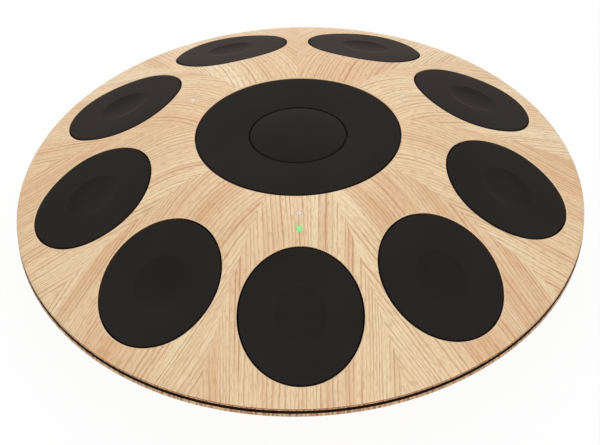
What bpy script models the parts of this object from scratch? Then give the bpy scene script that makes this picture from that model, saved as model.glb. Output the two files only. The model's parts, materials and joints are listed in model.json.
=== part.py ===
"""A digital handpan: a wooden lens-shaped body with nine silicone tone pads round an oval centre pad.

Metres, +Z up, front towards -Y, standing on its feet at z = 0. Each piece is one object.
"""

import math

import bmesh
import bpy
from mathutils import Matrix, Vector

# Body
RIM_RADIUS = 0.265
SHELL_WALL = 0.004
RIM_LANDING = 0.016
LOWER_EDGE_BAND = 0.004
UPPER_EDGE_BAND = 0.0027
SEAM_GAP = 0.0033
SEAM_RECESS = 0.0004
SPACER_WIDTH = 0.0151
GAP = 0.0003
GLUE_LINE = 0.0006

# Upper shell
FLANK_TILT = math.radians(27.6)
DOME_EDGE_TILT = math.radians(34)
DOME_EDGE_WIDTH = 0.012
FACET_SHARE = 0.85
CREASE_SOFTNESS = 0.006

# Lower shell
BASE_RADIUS = 0.140
BASE_BLEND = 0.035
BOWL_TILT = math.radians(21.2)
BOWL_FLARE_TILT = math.radians(8.5)
BOWL_FLARE_WIDTH = 0.022

# Tone pads
PAD_COUNT = 9
SHOULDER_WIDTH = 0.0443
RIM_MARGIN = 0.0175
PAD_BRIDGE = 0.0234
PAD_GAP = 0.0009
PAD_THICKNESS = 0.005
PAD_TRAVEL = 0.0005
PAD_BEVEL = 0.0006
DIMPLE_DEPTH = 0.0024
DIMPLE_REACH = 0.42
SENSOR_THICKNESS = 0.0016
SENSOR_RADIUS = 0.026
PAD_STOP_CLEARANCE = 0.0001
BED_FLOOR = 0.002
BED_RIM = 0.005

# Centre pads
CENTRE_HALF_WIDTH = 0.0931
CENTRE_HALF_DEPTH = 0.0818
DOME_PAD_HALF_WIDTH = 0.0436
DOME_PAD_HALF_DEPTH = 0.0380
DOME_PAD_GAP = 0.0012
DOME_PAD_RISE = 0.006
DOME_PAD_POWER = 2.6
CENTRE_THICKNESS = 0.006
OPENING_LAND = 0.003
TRAY_FLANGE = 0.008
TRAY_WALL = 0.002
RING_SENSOR_MARGIN = 0.012
DOME_SENSOR_MARGIN = 0.014

# Lights
LIGHT_RADIUS = 0.0026
LIGHT_FLANGE_RADIUS = 0.0045
LIGHT_FLANGE_HEIGHT = 0.0015
FIRST_LIGHT_MARGIN = 0.0117
LIGHT_PITCH = 0.0164
SIDE_LIGHT_MARGIN = 0.0199
LIGHT_BOARD_WIDTH = 0.014
LIGHT_BOARD_MARGIN = 0.006
BOARD_THICKNESS = 0.0016

# Speakers and bass port
SPEAKER_OFFSET = 0.075
SPEAKER_FRAME_RADIUS = 0.039
SPEAKER_FRAME_LIP = 0.003
SPEAKER_MOUTH_RADIUS = 0.034
SPEAKER_BASKET_DEPTH = 0.022
SPEAKER_NECK_RADIUS = 0.020
MAGNET_RADIUS = 0.025
MAGNET_HEIGHT = 0.014
CONE_THICKNESS = 0.001
COIL_RADIUS = 0.011
GRILLE_OVERLAP = 0.005
GRILLE_THICKNESS = 0.0014
GRILLE_SLOT = 0.003
GRILLE_PITCH = 0.0085
GRILLE_BORDER = 0.005
PORT_BORE = 0.022
PORT_WALL = 0.0025
PORT_LENGTH = 0.058
PORT_FLANGE = 0.006
PORT_FLANGE_HEIGHT = 0.002

# Electronics
MAIN_BOARD_WIDTH = 0.110
MAIN_BOARD_DEPTH = 0.056
MAIN_BOARD_Y = -0.092
MAIN_BOARD_CORNER = 0.002
POST_HEIGHT = 0.008
POST_RADIUS = 0.003
POST_INSET = 0.005
MEMORY_SIDE = 0.012
MEMORY_HEIGHT = 0.003
PROCESSOR_SIDE = 0.018
PROCESSOR_HEIGHT = 0.002
COIL_SIDE = 0.010
COIL_HEIGHT = 0.009
CELL_COUNT = 4
CELL_RADIUS = 0.0092
CELL_LENGTH = 0.065
BATTERY_Y = 0.090

# Control panel
PANEL_LENGTH = 0.090
PANEL_WIDTH = 0.030
PANEL_CORNER = 0.006
PANEL_RECESS = 0.0022
PANEL_FACE = 0.0025
PANEL_SIDE_WALL = 0.0024
PANEL_FLANGE = 0.004
PANEL_FLANGE_HEIGHT = 0.002
CONTROL_PITCH = 0.021
CONTROL_BOARD_DROP = 0.0085
BUTTON_RADIUS = 0.0055
BUTTON_PROUD = 0.0012
BUTTON_TRAVEL = 0.0008
BUTTON_COLLAR = 0.0015
BUTTON_COLLAR_HEIGHT = 0.0012
SWITCH_SIDE = 0.006
KNOB_RADIUS = 0.0075
KNOB_HEIGHT = 0.008
KNOB_SHAFT_RADIUS = 0.003
KNOB_SHAFT_GRIP = 0.003
ENCODER_SIDE = 0.013
USB_WIDTH = 0.009
USB_HEIGHT = 0.0032
USB_WALL = 0.0004
USB_DEPTH = 0.006
TONGUE_WIDTH = 0.0062
TONGUE_HEIGHT = 0.0007
TONGUE_CORNER = 0.0001
JACK_RADIUS = 0.0032
JACK_BORE = 0.00178
JACK_BODY = 0.009

# Screws and feet
SCREW_COUNT = 6
SCREW_INSET = 0.0108
SCREW_RADIUS = 0.0018
SCREW_HEAD_RADIUS = 0.0038
SCREW_HEAD_HEIGHT = 0.0024
SCREW_GRIP = 0.0026
SCREW_BITE = 0.0045
HEX_RADIUS = 0.0013
HEX_DEPTH = 0.0014
FOOT_COUNT = 4
FOOT_HEIGHT = 0.008
FOOT_RADIUS = 0.014
FOOT_EDGE_MARGIN = 0.0015
FOOT_TAPER = 0.0025

# Facets
AROUND = 54
PAD_SIDES = 28
ROUND_SIDES = 20
SMALL_SIDES = 12
MOST_ROUND = 0.49

# Sizes that follow from the ones above
PAD_STEP = 2 * math.pi / PAD_COUNT
PAD_INNER = CENTRE_HALF_WIDTH + SHOULDER_WIDTH
PAD_OUTER = RIM_RADIUS - RIM_MARGIN
PAD_RING_RADIUS = (PAD_INNER + PAD_OUTER) / 2
PAD_HALF_LENGTH = (PAD_OUTER - PAD_INNER) / 2 / math.cos(FLANK_TILT)
PAD_HALF_WIDTH = PAD_RING_RADIUS * math.sin(PAD_STEP / 2) - PAD_BRIDGE / 2
SENSOR_DEPTH = PAD_THICKNESS + PAD_TRAVEL + PAD_STOP_CLEARANCE
PAD_FLOOR_DEPTH = SENSOR_DEPTH + SENSOR_THICKNESS + GAP
DOME_DROP = SHELL_WALL / math.cos(FLANK_TILT)
BED_DROP = (PAD_FLOOR_DEPTH + BED_FLOOR) / math.cos(FLANK_TILT)
BOWL_DROP = SHELL_WALL / math.cos(BOWL_TILT)
LANDING_RADIUS = RIM_RADIUS - RIM_LANDING
SPACER_OUTER = RIM_RADIUS - SEAM_RECESS
SPACER_INNER = SPACER_OUTER - SPACER_WIDTH
SCREW_CIRCLE = RIM_RADIUS - SCREW_INSET
FOOT_CIRCLE = BASE_RADIUS - FOOT_EDGE_MARGIN - FOOT_RADIUS
PORT_HOLE = PORT_BORE + PORT_WALL + GAP
GRILLE_RADIUS = SPEAKER_MOUTH_RADIUS + GRILLE_OVERLAP
PANEL_RADIUS = (BASE_RADIUS + BASE_BLEND + RIM_RADIUS - BOWL_FLARE_WIDTH) / 2


def clamp(value, low, high):
    return max(low, min(high, value))


def smooth_step(low, high, value):
    t = clamp((value - low) / (high - low), 0, 1)
    return t * t * (3 - 2 * t)


def profile_rise(distance, flat, blend, tilt, edge, edge_tilt):
    """Height above the rim's corner: a flat middle, a rounded shoulder, a straight flank and a curved edge."""
    slope = math.tan(tilt)
    rim_slope = math.tan(edge_tilt)
    flank_start = flat + blend
    edge_start = RIM_RADIUS - edge
    in_edge = clamp(RIM_RADIUS - distance, 0, edge)
    on_flank = clamp(edge_start - distance, 0, edge_start - flank_start)
    on_shoulder = clamp(flank_start - distance, 0, blend)
    rise = rim_slope * in_edge + (slope - rim_slope) * in_edge**2 / (2 * edge)
    rise += slope * on_flank
    return rise + slope * on_shoulder - slope * on_shoulder**2 / (2 * blend)


def bowl_rise(radius):
    return profile_rise(
        radius, BASE_RADIUS, BASE_BLEND, BOWL_TILT, BOWL_FLARE_WIDTH, BOWL_FLARE_TILT
    )


# Levels, from the floor up
BASE_Z = FOOT_HEIGHT + GAP
LOWER_CORNER_Z = BASE_Z + bowl_rise(0)
LOWER_TOP_Z = LOWER_CORNER_Z + LOWER_EDGE_BAND
UPPER_BASE_Z = LOWER_TOP_Z + SEAM_GAP
UPPER_CORNER_Z = UPPER_BASE_Z + UPPER_EDGE_BAND
FLOOR_Z = BASE_Z + BOWL_DROP


def bowl_z(radius):
    """The lower shell's underside."""
    return LOWER_CORNER_Z - bowl_rise(radius)


def facet_distance(x, y):
    """Distance from the axis, part of it measured square to the nearest pad's facet."""
    radius = math.hypot(x, y)
    total = 0
    for k in range(PAD_COUNT):
        angle = k * PAD_STEP
        along = x * math.sin(angle) - y * math.cos(angle)
        total += math.exp((along - radius) / CREASE_SOFTNESS)
    square = radius + CREASE_SOFTNESS * math.log(total)
    share = FACET_SHARE * smooth_step(CENTRE_HALF_WIDTH, PAD_RING_RADIUS, radius)
    share *= 1 - smooth_step(PAD_RING_RADIUS, RIM_RADIUS, radius)
    return radius + share * (square - radius)


def dome_z(x, y):
    """The upper shell's outer surface."""
    return UPPER_CORNER_Z + profile_rise(
        facet_distance(x, y),
        CENTRE_HALF_WIDTH,
        SHOULDER_WIDTH,
        FLANK_TILT,
        DOME_EDGE_WIDTH,
        DOME_EDGE_TILT,
    )


def ceiling_z(x, y):
    """The upper shell's inner surface."""
    return dome_z(x, y) - DOME_DROP


CROWN_Z = dome_z(0, 0)


def frame_at(angle, radius, z, tilt):
    """Axes on the dome: X across, Y up the slope towards the middle, Z outwards. Angle 0 is the front."""
    turn = Matrix.Rotation(angle, 4, "Z")
    return turn @ Matrix.Translation((0, -radius, z)) @ Matrix.Rotation(tilt, 4, "X")


def pad_frame(k):
    return frame_at(k * PAD_STEP, PAD_RING_RADIUS, dome_z(0, -PAD_RING_RADIUS), FLANK_TILT)


def height_over(frame, surface, x, y):
    """How far a surface lies above the point (x, y) of a frame, along the frame's Z."""
    normal = frame.to_3x3() @ Vector((0, 0, 1))
    height = 0
    for _ in range(6):
        point = frame @ Vector((x, y, height))
        height += (surface(point.x, point.y) - point.z) * normal.z
    return height


def circle(radius, sides, z=0, middle=(0, 0)):
    turns = [2 * math.pi * i / sides for i in range(sides)]
    return [
        Vector((middle[0] + radius * math.cos(t), middle[1] + radius * math.sin(t), z))
        for t in turns
    ]


def oval(half_width, half_depth, sides, z=0):
    turns = [2 * math.pi * i / sides - math.pi / 2 for i in range(sides)]
    return [Vector((half_width * math.cos(t), half_depth * math.sin(t), z)) for t in turns]


def rounded_rectangle(length, width, corner, z=0, steps=3):
    """Corner arcs joined by straight sides, centred on the origin."""
    points = []
    for quarter, (sx, sy) in enumerate(((1, 1), (-1, 1), (-1, -1), (1, -1))):
        middle = Vector((sx * (length / 2 - corner), sy * (width / 2 - corner), z))
        for i in range(steps + 1):
            t = math.pi / 2 * (quarter + i / steps)
            points.append(middle + corner * Vector((math.cos(t), math.sin(t), 0)))
    return points


def shell_ring(radius, surface):
    """A ring round the axis whose points start on the front pad's centre line."""
    points = []
    for i in range(AROUND):
        t = 2 * math.pi * i / AROUND - math.pi / 2
        x, y = radius * math.cos(t), radius * math.sin(t)
        points.append(Vector((x, y, surface(x, y))))
    return points


def fitted(ring, surface):
    """The ring with its points set on a surface."""
    return [Vector((p.x, p.y, surface(p.x, p.y))) for p in ring]


def level(z):
    return lambda x, y: z


def spaced(start, end, count):
    """Steps from start to end, leaving out the start."""
    return [start + (end - start) * (i + 1) / count for i in range(count)]


def loft(rings, closed=False):
    """A solid through rings of points. A ring of one point closes an end, and a wider end ring is capped."""
    bm = bmesh.new()
    rows = [[bm.verts.new(point) for point in ring] for ring in rings]
    pairs = list(zip(rows, rows[1:]))
    if closed:
        pairs.append((rows[-1], rows[0]))
    for low, high in pairs:
        count = max(len(low), len(high))
        for i in range(count):
            j = (i + 1) % count
            corners = [low[i % len(low)], low[j % len(low)], high[j % len(high)], high[i % len(high)]]
            bm.faces.new(list(dict.fromkeys(corners)))
    if not closed:
        for row in (rows[0], rows[-1]):
            if len(row) > 2:
                bm.faces.new(row)
    bmesh.ops.recalc_face_normals(bm, faces=bm.faces)
    return bm


def turned(profile, sides=ROUND_SIDES, middle=(0, 0), closed=False):
    """A turned solid from (radius, z) points, about a vertical axis."""
    rings = []
    for radius, z in profile:
        if radius == 0:
            rings.append([Vector((middle[0], middle[1], z))])
        else:
            rings.append(circle(radius, sides, z, middle))
    return loft(rings, closed)


def block(length, width, low, high, middle=(0, 0), corner=0.0005, steps=1):
    """An upright block with rounded corners, no rounder than the block allows."""
    shift = Vector((middle[0], middle[1], 0))
    corner = min(corner, MOST_ROUND * min(length, width))
    rings = [
        [point + shift for point in rounded_rectangle(length, width, corner, z, steps)]
        for z in (low, high)
    ]
    return loft(rings)


def moved(bm, frame):
    bmesh.ops.transform(bm, matrix=frame, verts=bm.verts)
    return bm


def combined(pieces):
    """Several solids in one mesh, for a cutter or for a union."""
    whole = bmesh.new()
    for piece in pieces:
        mesh = bpy.data.meshes.new("piece")
        piece.to_mesh(mesh)
        piece.free()
        whole.from_mesh(mesh)
        bpy.data.meshes.remove(mesh)
    return whole


def finish(name, colour, roughness, metallic=0.0):
    material = bpy.data.materials.new(name)
    material.use_nodes = True
    shader = material.node_tree.nodes["Principled BSDF"]
    shader.inputs["Base Color"].default_value = (*colour, 1)
    shader.inputs["Roughness"].default_value = roughness
    shader.inputs["Metallic"].default_value = metallic
    material.diffuse_color = (*colour, 1)
    return material


def add_part(name, bm, material, frame=None):
    mesh = bpy.data.meshes.new(name)
    bm.to_mesh(mesh)
    bm.free()
    mesh.materials.append(material)
    return place_part(name, mesh, frame)


def place_part(name, mesh, frame=None):
    mesh.shade_smooth()
    mesh.set_sharp_from_angle(angle=math.radians(35))
    part = bpy.data.objects.new(name, mesh)
    bpy.context.scene.collection.objects.link(part)
    part.parent = bpy.data.objects["handpan"]
    part.matrix_basis = frame or Matrix()
    return part


def shape_with(part, pieces, operation="DIFFERENCE"):
    """Cuts the pieces from a part, or joins them to it."""
    mesh = bpy.data.meshes.new(part.name + "_tool")
    whole = combined(pieces)
    whole.to_mesh(mesh)
    whole.free()
    tool = bpy.data.objects.new(mesh.name, mesh)
    bpy.context.scene.collection.objects.link(tool)
    tool.parent = bpy.data.objects["handpan"]
    tool.matrix_basis = part.matrix_basis
    tool.hide_render = True
    tool.display_type = "WIRE"
    modifier = part.modifiers.new(operation.lower(), "BOOLEAN")
    modifier.operation = operation
    modifier.solver = "EXACT"
    modifier.object = tool


def pad_ring(grow, depth, scale=1.0):
    """An oval in a tone pad's frame that follows the dome at a depth below its surface."""
    frame = pad_frame(0)
    ring = oval(scale * PAD_HALF_WIDTH + grow, scale * PAD_HALF_LENGTH + grow, PAD_SIDES)
    for point in ring:
        point.z = height_over(frame, dome_z, point.x, point.y) - depth
    return ring


def dimple(scale):
    """Depth of the tone pad's dished middle at a share of the pad's size."""
    return DIMPLE_DEPTH * (1 - (scale / DIMPLE_REACH) ** 2)


def pad_outline(grow, z):
    return oval(PAD_HALF_WIDTH + grow, PAD_HALF_LENGTH + grow, PAD_SIDES, z)


def pad_prism(top, bottom):
    """A cutter with a pad opening's outline, square to the pad."""
    return loft([pad_outline(PAD_GAP, top), pad_outline(PAD_GAP, bottom)])


def light_frames():
    """Frames on the dome for the front pair of lights, and for the side lights on the pads at 120 degrees."""
    def at(angle, radius):
        step = RIM_MARGIN / 10
        fall = dome_z(0, -radius) - dome_z(0, -radius - step)
        return frame_at(angle, radius, dome_z(0, -radius), math.atan(fall / step))

    front = at(0, CENTRE_HALF_WIDTH + FIRST_LIGHT_MARGIN + LIGHT_PITCH / 2)
    side_radius = CENTRE_HALF_WIDTH + SIDE_LIGHT_MARGIN
    third = 2 * math.pi / 3
    return front, at(-third, side_radius), at(third, side_radius)


def light_seat(frame, y):
    """Top of a light's flange: just under the ceiling wherever the flange reaches."""
    edge = circle(LIGHT_FLANGE_RADIUS, SMALL_SIDES, middle=(0, y))
    return min(height_over(frame, ceiling_z, p.x, p.y) for p in edge) - GAP


def flank_stations():
    """Radii down the dome's flank, shared by the shell and the bed under it."""
    return spaced(PAD_INNER, LANDING_RADIUS, 4)[:-1]


def screw_places():
    return [
        frame_at(2 * math.pi * (i + 0.5) / SCREW_COUNT, SCREW_CIRCLE, 0, 0)
        for i in range(SCREW_COUNT)
    ]


def make_upper_shell(wood):
    """The dome, with an oval opening in the crown, nine pad openings, light holes and pilot holes."""
    opening = oval(CENTRE_HALF_WIDTH + PAD_GAP, CENTRE_HALF_DEPTH + PAD_GAP, AROUND)
    land = CENTRE_HALF_WIDTH + PAD_GAP + OPENING_LAND
    inner = [land] + spaced(land, PAD_INNER, 4) + flank_stations()
    edge_start = RIM_RADIUS - DOME_EDGE_WIDTH
    edge = [edge_start] + spaced(edge_start, RIM_RADIUS, 3)
    rings = [fitted(opening, dome_z)]
    rings += [shell_ring(radius, dome_z) for radius in inner + edge]
    rings.append(shell_ring(RIM_RADIUS, level(UPPER_BASE_Z)))
    rings.append(shell_ring(LANDING_RADIUS, level(UPPER_BASE_Z)))
    rings.append(shell_ring(LANDING_RADIUS, ceiling_z))
    rings += [shell_ring(radius, ceiling_z) for radius in reversed(inner)]
    rings.append(fitted(opening, ceiling_z))
    shell = add_part("upper_shell", loft(rings, closed=True), wood)
    cutters = []
    reach = PAD_THICKNESS + SHELL_WALL + DOME_DROP
    for k in range(PAD_COUNT):
        cutters.append(moved(pad_prism(reach, -reach), pad_frame(k)))
    front, left, right = light_frames()
    bore = LIGHT_RADIUS + GAP
    for frame, y in ((front, LIGHT_PITCH / 2), (front, -LIGHT_PITCH / 2), (left, 0), (right, 0)):
        hole = turned([(0, reach), (bore, reach), (bore, -reach), (0, -reach)], SMALL_SIDES, (0, y))
        cutters.append(moved(hole, frame))
    low = UPPER_BASE_Z - SEAM_GAP
    high = UPPER_BASE_Z + SCREW_BITE + GAP
    bore = SCREW_RADIUS + GAP
    for place in screw_places():
        hole = turned([(0, low), (bore, low), (bore, high), (0, high)], SMALL_SIDES)
        cutters.append(moved(hole, place))
    shape_with(shell, cutters)


def make_lower_shell(wood):
    """The bowl, with the port hole, two speaker mouths, the panel opening and counterbored screw holes."""
    blend = spaced(BASE_RADIUS, BASE_RADIUS + BASE_BLEND, 2)
    flank = spaced(BASE_RADIUS + BASE_BLEND, RIM_RADIUS - BOWL_FLARE_WIDTH, 2)
    flare = spaced(RIM_RADIUS - BOWL_FLARE_WIDTH, RIM_RADIUS, 2)
    stations = [PORT_HOLE, BASE_RADIUS] + blend + flank + flare
    inner = [radius for radius in stations if radius < LANDING_RADIUS - GAP]

    def outside(x, y):
        return bowl_z(math.hypot(x, y))

    def inside(x, y):
        return outside(x, y) + BOWL_DROP

    rings = [shell_ring(radius, outside) for radius in stations]
    rings.append(shell_ring(RIM_RADIUS, level(LOWER_TOP_Z)))
    rings.append(shell_ring(LANDING_RADIUS, level(LOWER_TOP_Z)))
    rings.append(shell_ring(LANDING_RADIUS, inside))
    rings += [shell_ring(radius, inside) for radius in reversed(inner)]
    shell = add_part("lower_shell", loft(rings, closed=True), wood)
    cutters = []
    low, high = BASE_Z - SHELL_WALL, FLOOR_Z + SHELL_WALL
    for side in (-1, 1):
        mouth = [(0, low), (SPEAKER_MOUTH_RADIUS, low), (SPEAKER_MOUTH_RADIUS, high), (0, high)]
        cutters.append(turned(mouth, 2 * SMALL_SIDES, (side * SPEAKER_OFFSET, 0)))
    outline = (PANEL_LENGTH + 2 * GAP, PANEL_WIDTH + 2 * GAP)
    reach = PANEL_FLANGE + 3 * SHELL_WALL
    window = block(*outline, -reach, reach, corner=PANEL_CORNER + GAP, steps=3)
    cutters.append(moved(window, panel_frame()))
    ledge = LOWER_TOP_Z - SCREW_GRIP
    bore, head = SCREW_RADIUS + GAP, SCREW_HEAD_RADIUS + GAP
    below, above = bowl_z(SCREW_CIRCLE) - SHELL_WALL, LOWER_TOP_Z + SEAM_GAP / 2
    steps = [(0, above), (bore, above), (bore, ledge), (head, ledge), (head, below), (0, below)]
    for place in screw_places():
        cutters.append(moved(turned(steps, SMALL_SIDES), place))
    shape_with(shell, cutters)


def make_rim_spacer(black):
    """The ring between the shells that shows as the dark seam, set back a little from their rims."""
    low, high = LOWER_TOP_Z + GAP, UPPER_BASE_Z - GAP
    rings = [shell_ring(SPACER_INNER, level(low)), shell_ring(SPACER_OUTER, level(low))]
    rings += [shell_ring(SPACER_OUTER, level(high)), shell_ring(SPACER_INNER, level(high))]
    spacer = add_part("rim_spacer", loft(rings, closed=True), black)
    bore = SCREW_RADIUS + GAP
    hole = [(0, low - SEAM_GAP), (bore, low - SEAM_GAP), (bore, high + SEAM_GAP), (0, high + SEAM_GAP)]
    shape_with(spacer, [moved(turned(hole, SMALL_SIDES), place) for place in screw_places()])


def make_tone_pads(silicone):
    """Nine oval pads, flush with the wood, each with a dished middle."""
    rings = [[Vector((0, 0, -dimple(0)))]]
    rings += [pad_ring(0, dimple(share), share) for share in (DIMPLE_REACH / 2, DIMPLE_REACH)]
    rings.append(pad_ring(-PAD_BEVEL, 0))
    rings.append(pad_ring(0, PAD_BEVEL))
    rings.append(pad_outline(0, -PAD_THICKNESS))
    first = add_part("tone_pad_1", loft(rings), silicone, pad_frame(0))
    for k in range(1, PAD_COUNT):
        place_part(f"tone_pad_{k + 1}", first.data, pad_frame(k))


def make_pad_sensors(film):
    """A force sensor disc under each tone pad, on the bed's pocket floor."""
    low = SENSOR_DEPTH + SENSOR_THICKNESS
    rings = [circle(SENSOR_RADIUS, ROUND_SIDES, -depth) for depth in (SENSOR_DEPTH, low)]
    first = add_part("pad_sensor_1", loft(rings), film, pad_frame(0))
    for k in range(1, PAD_COUNT):
        place_part(f"pad_sensor_{k + 1}", first.data, pad_frame(k))


def make_pad_bed(foam):
    """The moulded bed under the flank, with a pocket for each tone pad."""
    stations = [PAD_INNER - PAD_GAP - BED_RIM, PAD_INNER] + flank_stations() + [LANDING_RADIUS - GAP]

    def top(x, y):
        return ceiling_z(x, y) - GLUE_LINE

    def bottom(x, y):
        return dome_z(x, y) - BED_DROP

    rings = [shell_ring(radius, bottom) for radius in stations]
    rings += [shell_ring(radius, top) for radius in reversed(stations)]
    bed = add_part("pad_bed", loft(rings, closed=True), foam)
    pockets = [moved(pad_prism(PAD_THICKNESS, -PAD_FLOOR_DEPTH), pad_frame(k)) for k in range(PAD_COUNT)]
    shape_with(bed, pockets)


def make_centre_pads(silicone, plastic, film):
    """The flat oval ring pad and the domed pad inside it, with their sensors, in one oval tray."""
    under_pad = CROWN_Z - CENTRE_THICKNESS
    sensor_top = under_pad - PAD_TRAVEL - PAD_STOP_CLEARANCE
    floor = sensor_top - SENSOR_THICKNESS - GAP

    def outer(grow, z):
        return oval(CENTRE_HALF_WIDTH + grow, CENTRE_HALF_DEPTH + grow, 2 * ROUND_SIDES, z)

    def inner(grow, z, sides=PAD_SIDES):
        return oval(DOME_PAD_HALF_WIDTH + grow, DOME_PAD_HALF_DEPTH + grow, sides, z)

    hole = DOME_PAD_GAP
    sides = 2 * ROUND_SIDES
    rings = [inner(hole, CROWN_Z - PAD_BEVEL, sides), inner(hole + PAD_BEVEL, CROWN_Z, sides)]
    rings += [outer(-PAD_BEVEL, CROWN_Z), outer(0, CROWN_Z - PAD_BEVEL)]
    rings += [outer(0, under_pad), inner(hole, under_pad, sides)]
    add_part("centre_ring_pad", loft(rings, closed=True), silicone)

    rings = [[Vector((0, 0, CROWN_Z + DOME_PAD_RISE))]]
    for share in (0.35, 0.6, 0.8, 0.94):
        rise = DOME_PAD_RISE * (1 - share**DOME_PAD_POWER)
        rings.append([Vector((p.x * share, p.y * share, CROWN_Z + rise)) for p in inner(0, 0)])
    rings += [inner(0, CROWN_Z - PAD_BEVEL), inner(0, under_pad), [Vector((0, 0, under_pad))]]
    add_part("centre_dome_pad", loft(rings), silicone)

    seat = fitted(outer(PAD_GAP + TRAY_FLANGE, 0), lambda x, y: ceiling_z(x, y) - GLUE_LINE)
    under_seat = [p - Vector((0, 0, TRAY_WALL)) for p in seat]
    seat_inner = CROWN_Z - DOME_DROP - GLUE_LINE
    rings = [[Vector((0, 0, floor))], outer(PAD_GAP, floor), outer(PAD_GAP, seat_inner)]
    rings += [seat, under_seat, outer(PAD_GAP + TRAY_WALL, seat_inner - TRAY_WALL)]
    rings += [outer(PAD_GAP + TRAY_WALL, floor - TRAY_WALL), [Vector((0, 0, floor - TRAY_WALL))]]
    add_part("centre_tray", loft(rings), plastic)

    low, high = sensor_top - SENSOR_THICKNESS, sensor_top
    rings = []
    for z in (low, high):
        pair = [inner(DOME_PAD_GAP + RING_SENSOR_MARGIN, z, sides), outer(-RING_SENSOR_MARGIN, z)]
        rings += pair if z == low else reversed(pair)
    add_part("ring_sensor", loft(rings, closed=True), film)
    add_part("dome_sensor", loft([inner(-DOME_SENSOR_MARGIN, z) for z in (low, high)]), film)


def make_lights(clear, green, board_green):
    """Light pipes through the crown's shoulder, and the small boards that they stand on."""
    front, left, right = light_frames()
    half = LIGHT_PITCH / 2

    def pipe(frame, y):
        top = height_over(frame, dome_z, 0, y)
        seat = light_seat(frame, y)
        foot = light_foot(frame)
        profile = [(0, top), (LIGHT_RADIUS, top), (LIGHT_RADIUS, seat)]
        profile += [(LIGHT_FLANGE_RADIUS, seat), (LIGHT_FLANGE_RADIUS, foot), (0, foot)]
        return turned(profile, SMALL_SIDES, (0, y))

    def light_foot(frame):
        places = (half, -half) if frame is front else (0,)
        return min(light_seat(frame, y) for y in places) - LIGHT_FLANGE_HEIGHT

    add_part("front_light_white", pipe(front, half), clear, front)
    add_part("front_light_green", pipe(front, -half), green, front)
    add_part("left_light", pipe(left, 0), clear, left)
    add_part("right_light", pipe(right, 0), clear, right)
    top = light_foot(front) - GAP
    length = LIGHT_PITCH + 2 * LIGHT_BOARD_MARGIN
    board = block(LIGHT_BOARD_WIDTH, length, top - BOARD_THICKNESS, top)
    add_part("front_light_board", board, board_green, front)
    for name, frame in (("left_light_board", left), ("right_light_board", right)):
        top = light_foot(frame) - GAP
        board = block(LIGHT_BOARD_WIDTH, LIGHT_BOARD_WIDTH, top - BOARD_THICKNESS, top)
        add_part(name, board, board_green, frame)


def make_speakers(steel, paper, black):
    """Two drivers that face down through the base, each with its cone and its slotted grille."""
    seat = FLOOR_Z + GAP
    back = seat + SPEAKER_BASKET_DEPTH
    slope = (SPEAKER_MOUTH_RADIUS - COIL_RADIUS) / (SPEAKER_BASKET_DEPTH - SPEAKER_FRAME_LIP)
    cone_back = back - SPEAKER_FRAME_LIP
    basket = [(0, back + MAGNET_HEIGHT), (MAGNET_RADIUS, back + MAGNET_HEIGHT), (MAGNET_RADIUS, back)]
    basket += [(SPEAKER_NECK_RADIUS, back), (SPEAKER_MOUTH_RADIUS, seat + 2 * SPEAKER_FRAME_LIP)]
    basket += [(SPEAKER_FRAME_RADIUS, seat + SPEAKER_FRAME_LIP), (SPEAKER_FRAME_RADIUS, seat)]
    basket += [(SPEAKER_MOUTH_RADIUS - GAP, seat), (COIL_RADIUS, cone_back), (0, cone_back)]
    face = seat + GAP
    inset = slope * (GAP + CONE_THICKNESS)
    rim = SPEAKER_MOUTH_RADIUS - inset - 3 * GAP
    coil = COIL_RADIUS - GAP
    cone = [(0, cone_back - GAP), (coil, cone_back - GAP), (rim, face + CONE_THICKNESS), (rim, face)]
    cone += [(coil, cone_back - GAP - 2 * CONE_THICKNESS), (0, cone_back - 6 * CONE_THICKNESS)]
    top = BASE_Z - GAP
    low = top - GRILLE_THICKNESS
    plate = [(0, top), (GRILLE_RADIUS, top), (GRILLE_RADIUS, low + GAP), (GRILLE_RADIUS - GAP, low), (0, low)]
    open_radius = GRILLE_RADIUS - GRILLE_BORDER
    rows = int((open_radius - GRILLE_SLOT) / GRILLE_PITCH)
    for side, word in ((-1, "left"), (1, "right")):
        middle = (side * SPEAKER_OFFSET, 0)
        add_part(f"speaker_basket_{word}", turned(basket, middle=middle), steel)
        add_part(f"speaker_cone_{word}", turned(cone, middle=middle), paper)
        grille = add_part(f"speaker_grille_{word}", turned(plate, middle=middle), black)
        slots = []
        for row in range(-rows, rows + 1):
            y = row * GRILLE_PITCH
            length = 2 * math.sqrt(open_radius**2 - y**2)
            spot = (middle[0], y)
            slots.append(block(length, GRILLE_SLOT, low - GAP, top + GAP, spot, GRILLE_SLOT / 2, 2))
        shape_with(grille, slots)


def make_port_tube(black):
    """The bass port in the middle of the base."""
    top = BASE_Z - GAP
    low = top - PORT_FLANGE_HEIGHT
    outer = PORT_BORE + PORT_WALL
    profile = [(outer, low), (outer + PORT_FLANGE, low + PORT_FLANGE_HEIGHT / 2)]
    profile += [(outer + PORT_FLANGE, top), (outer, top), (outer, low + PORT_LENGTH)]
    profile += [(PORT_BORE, low + PORT_LENGTH), (PORT_BORE, low + PORT_WALL)]
    add_part("port_tube", turned(profile, 2 * SMALL_SIDES, closed=True), black)


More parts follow.
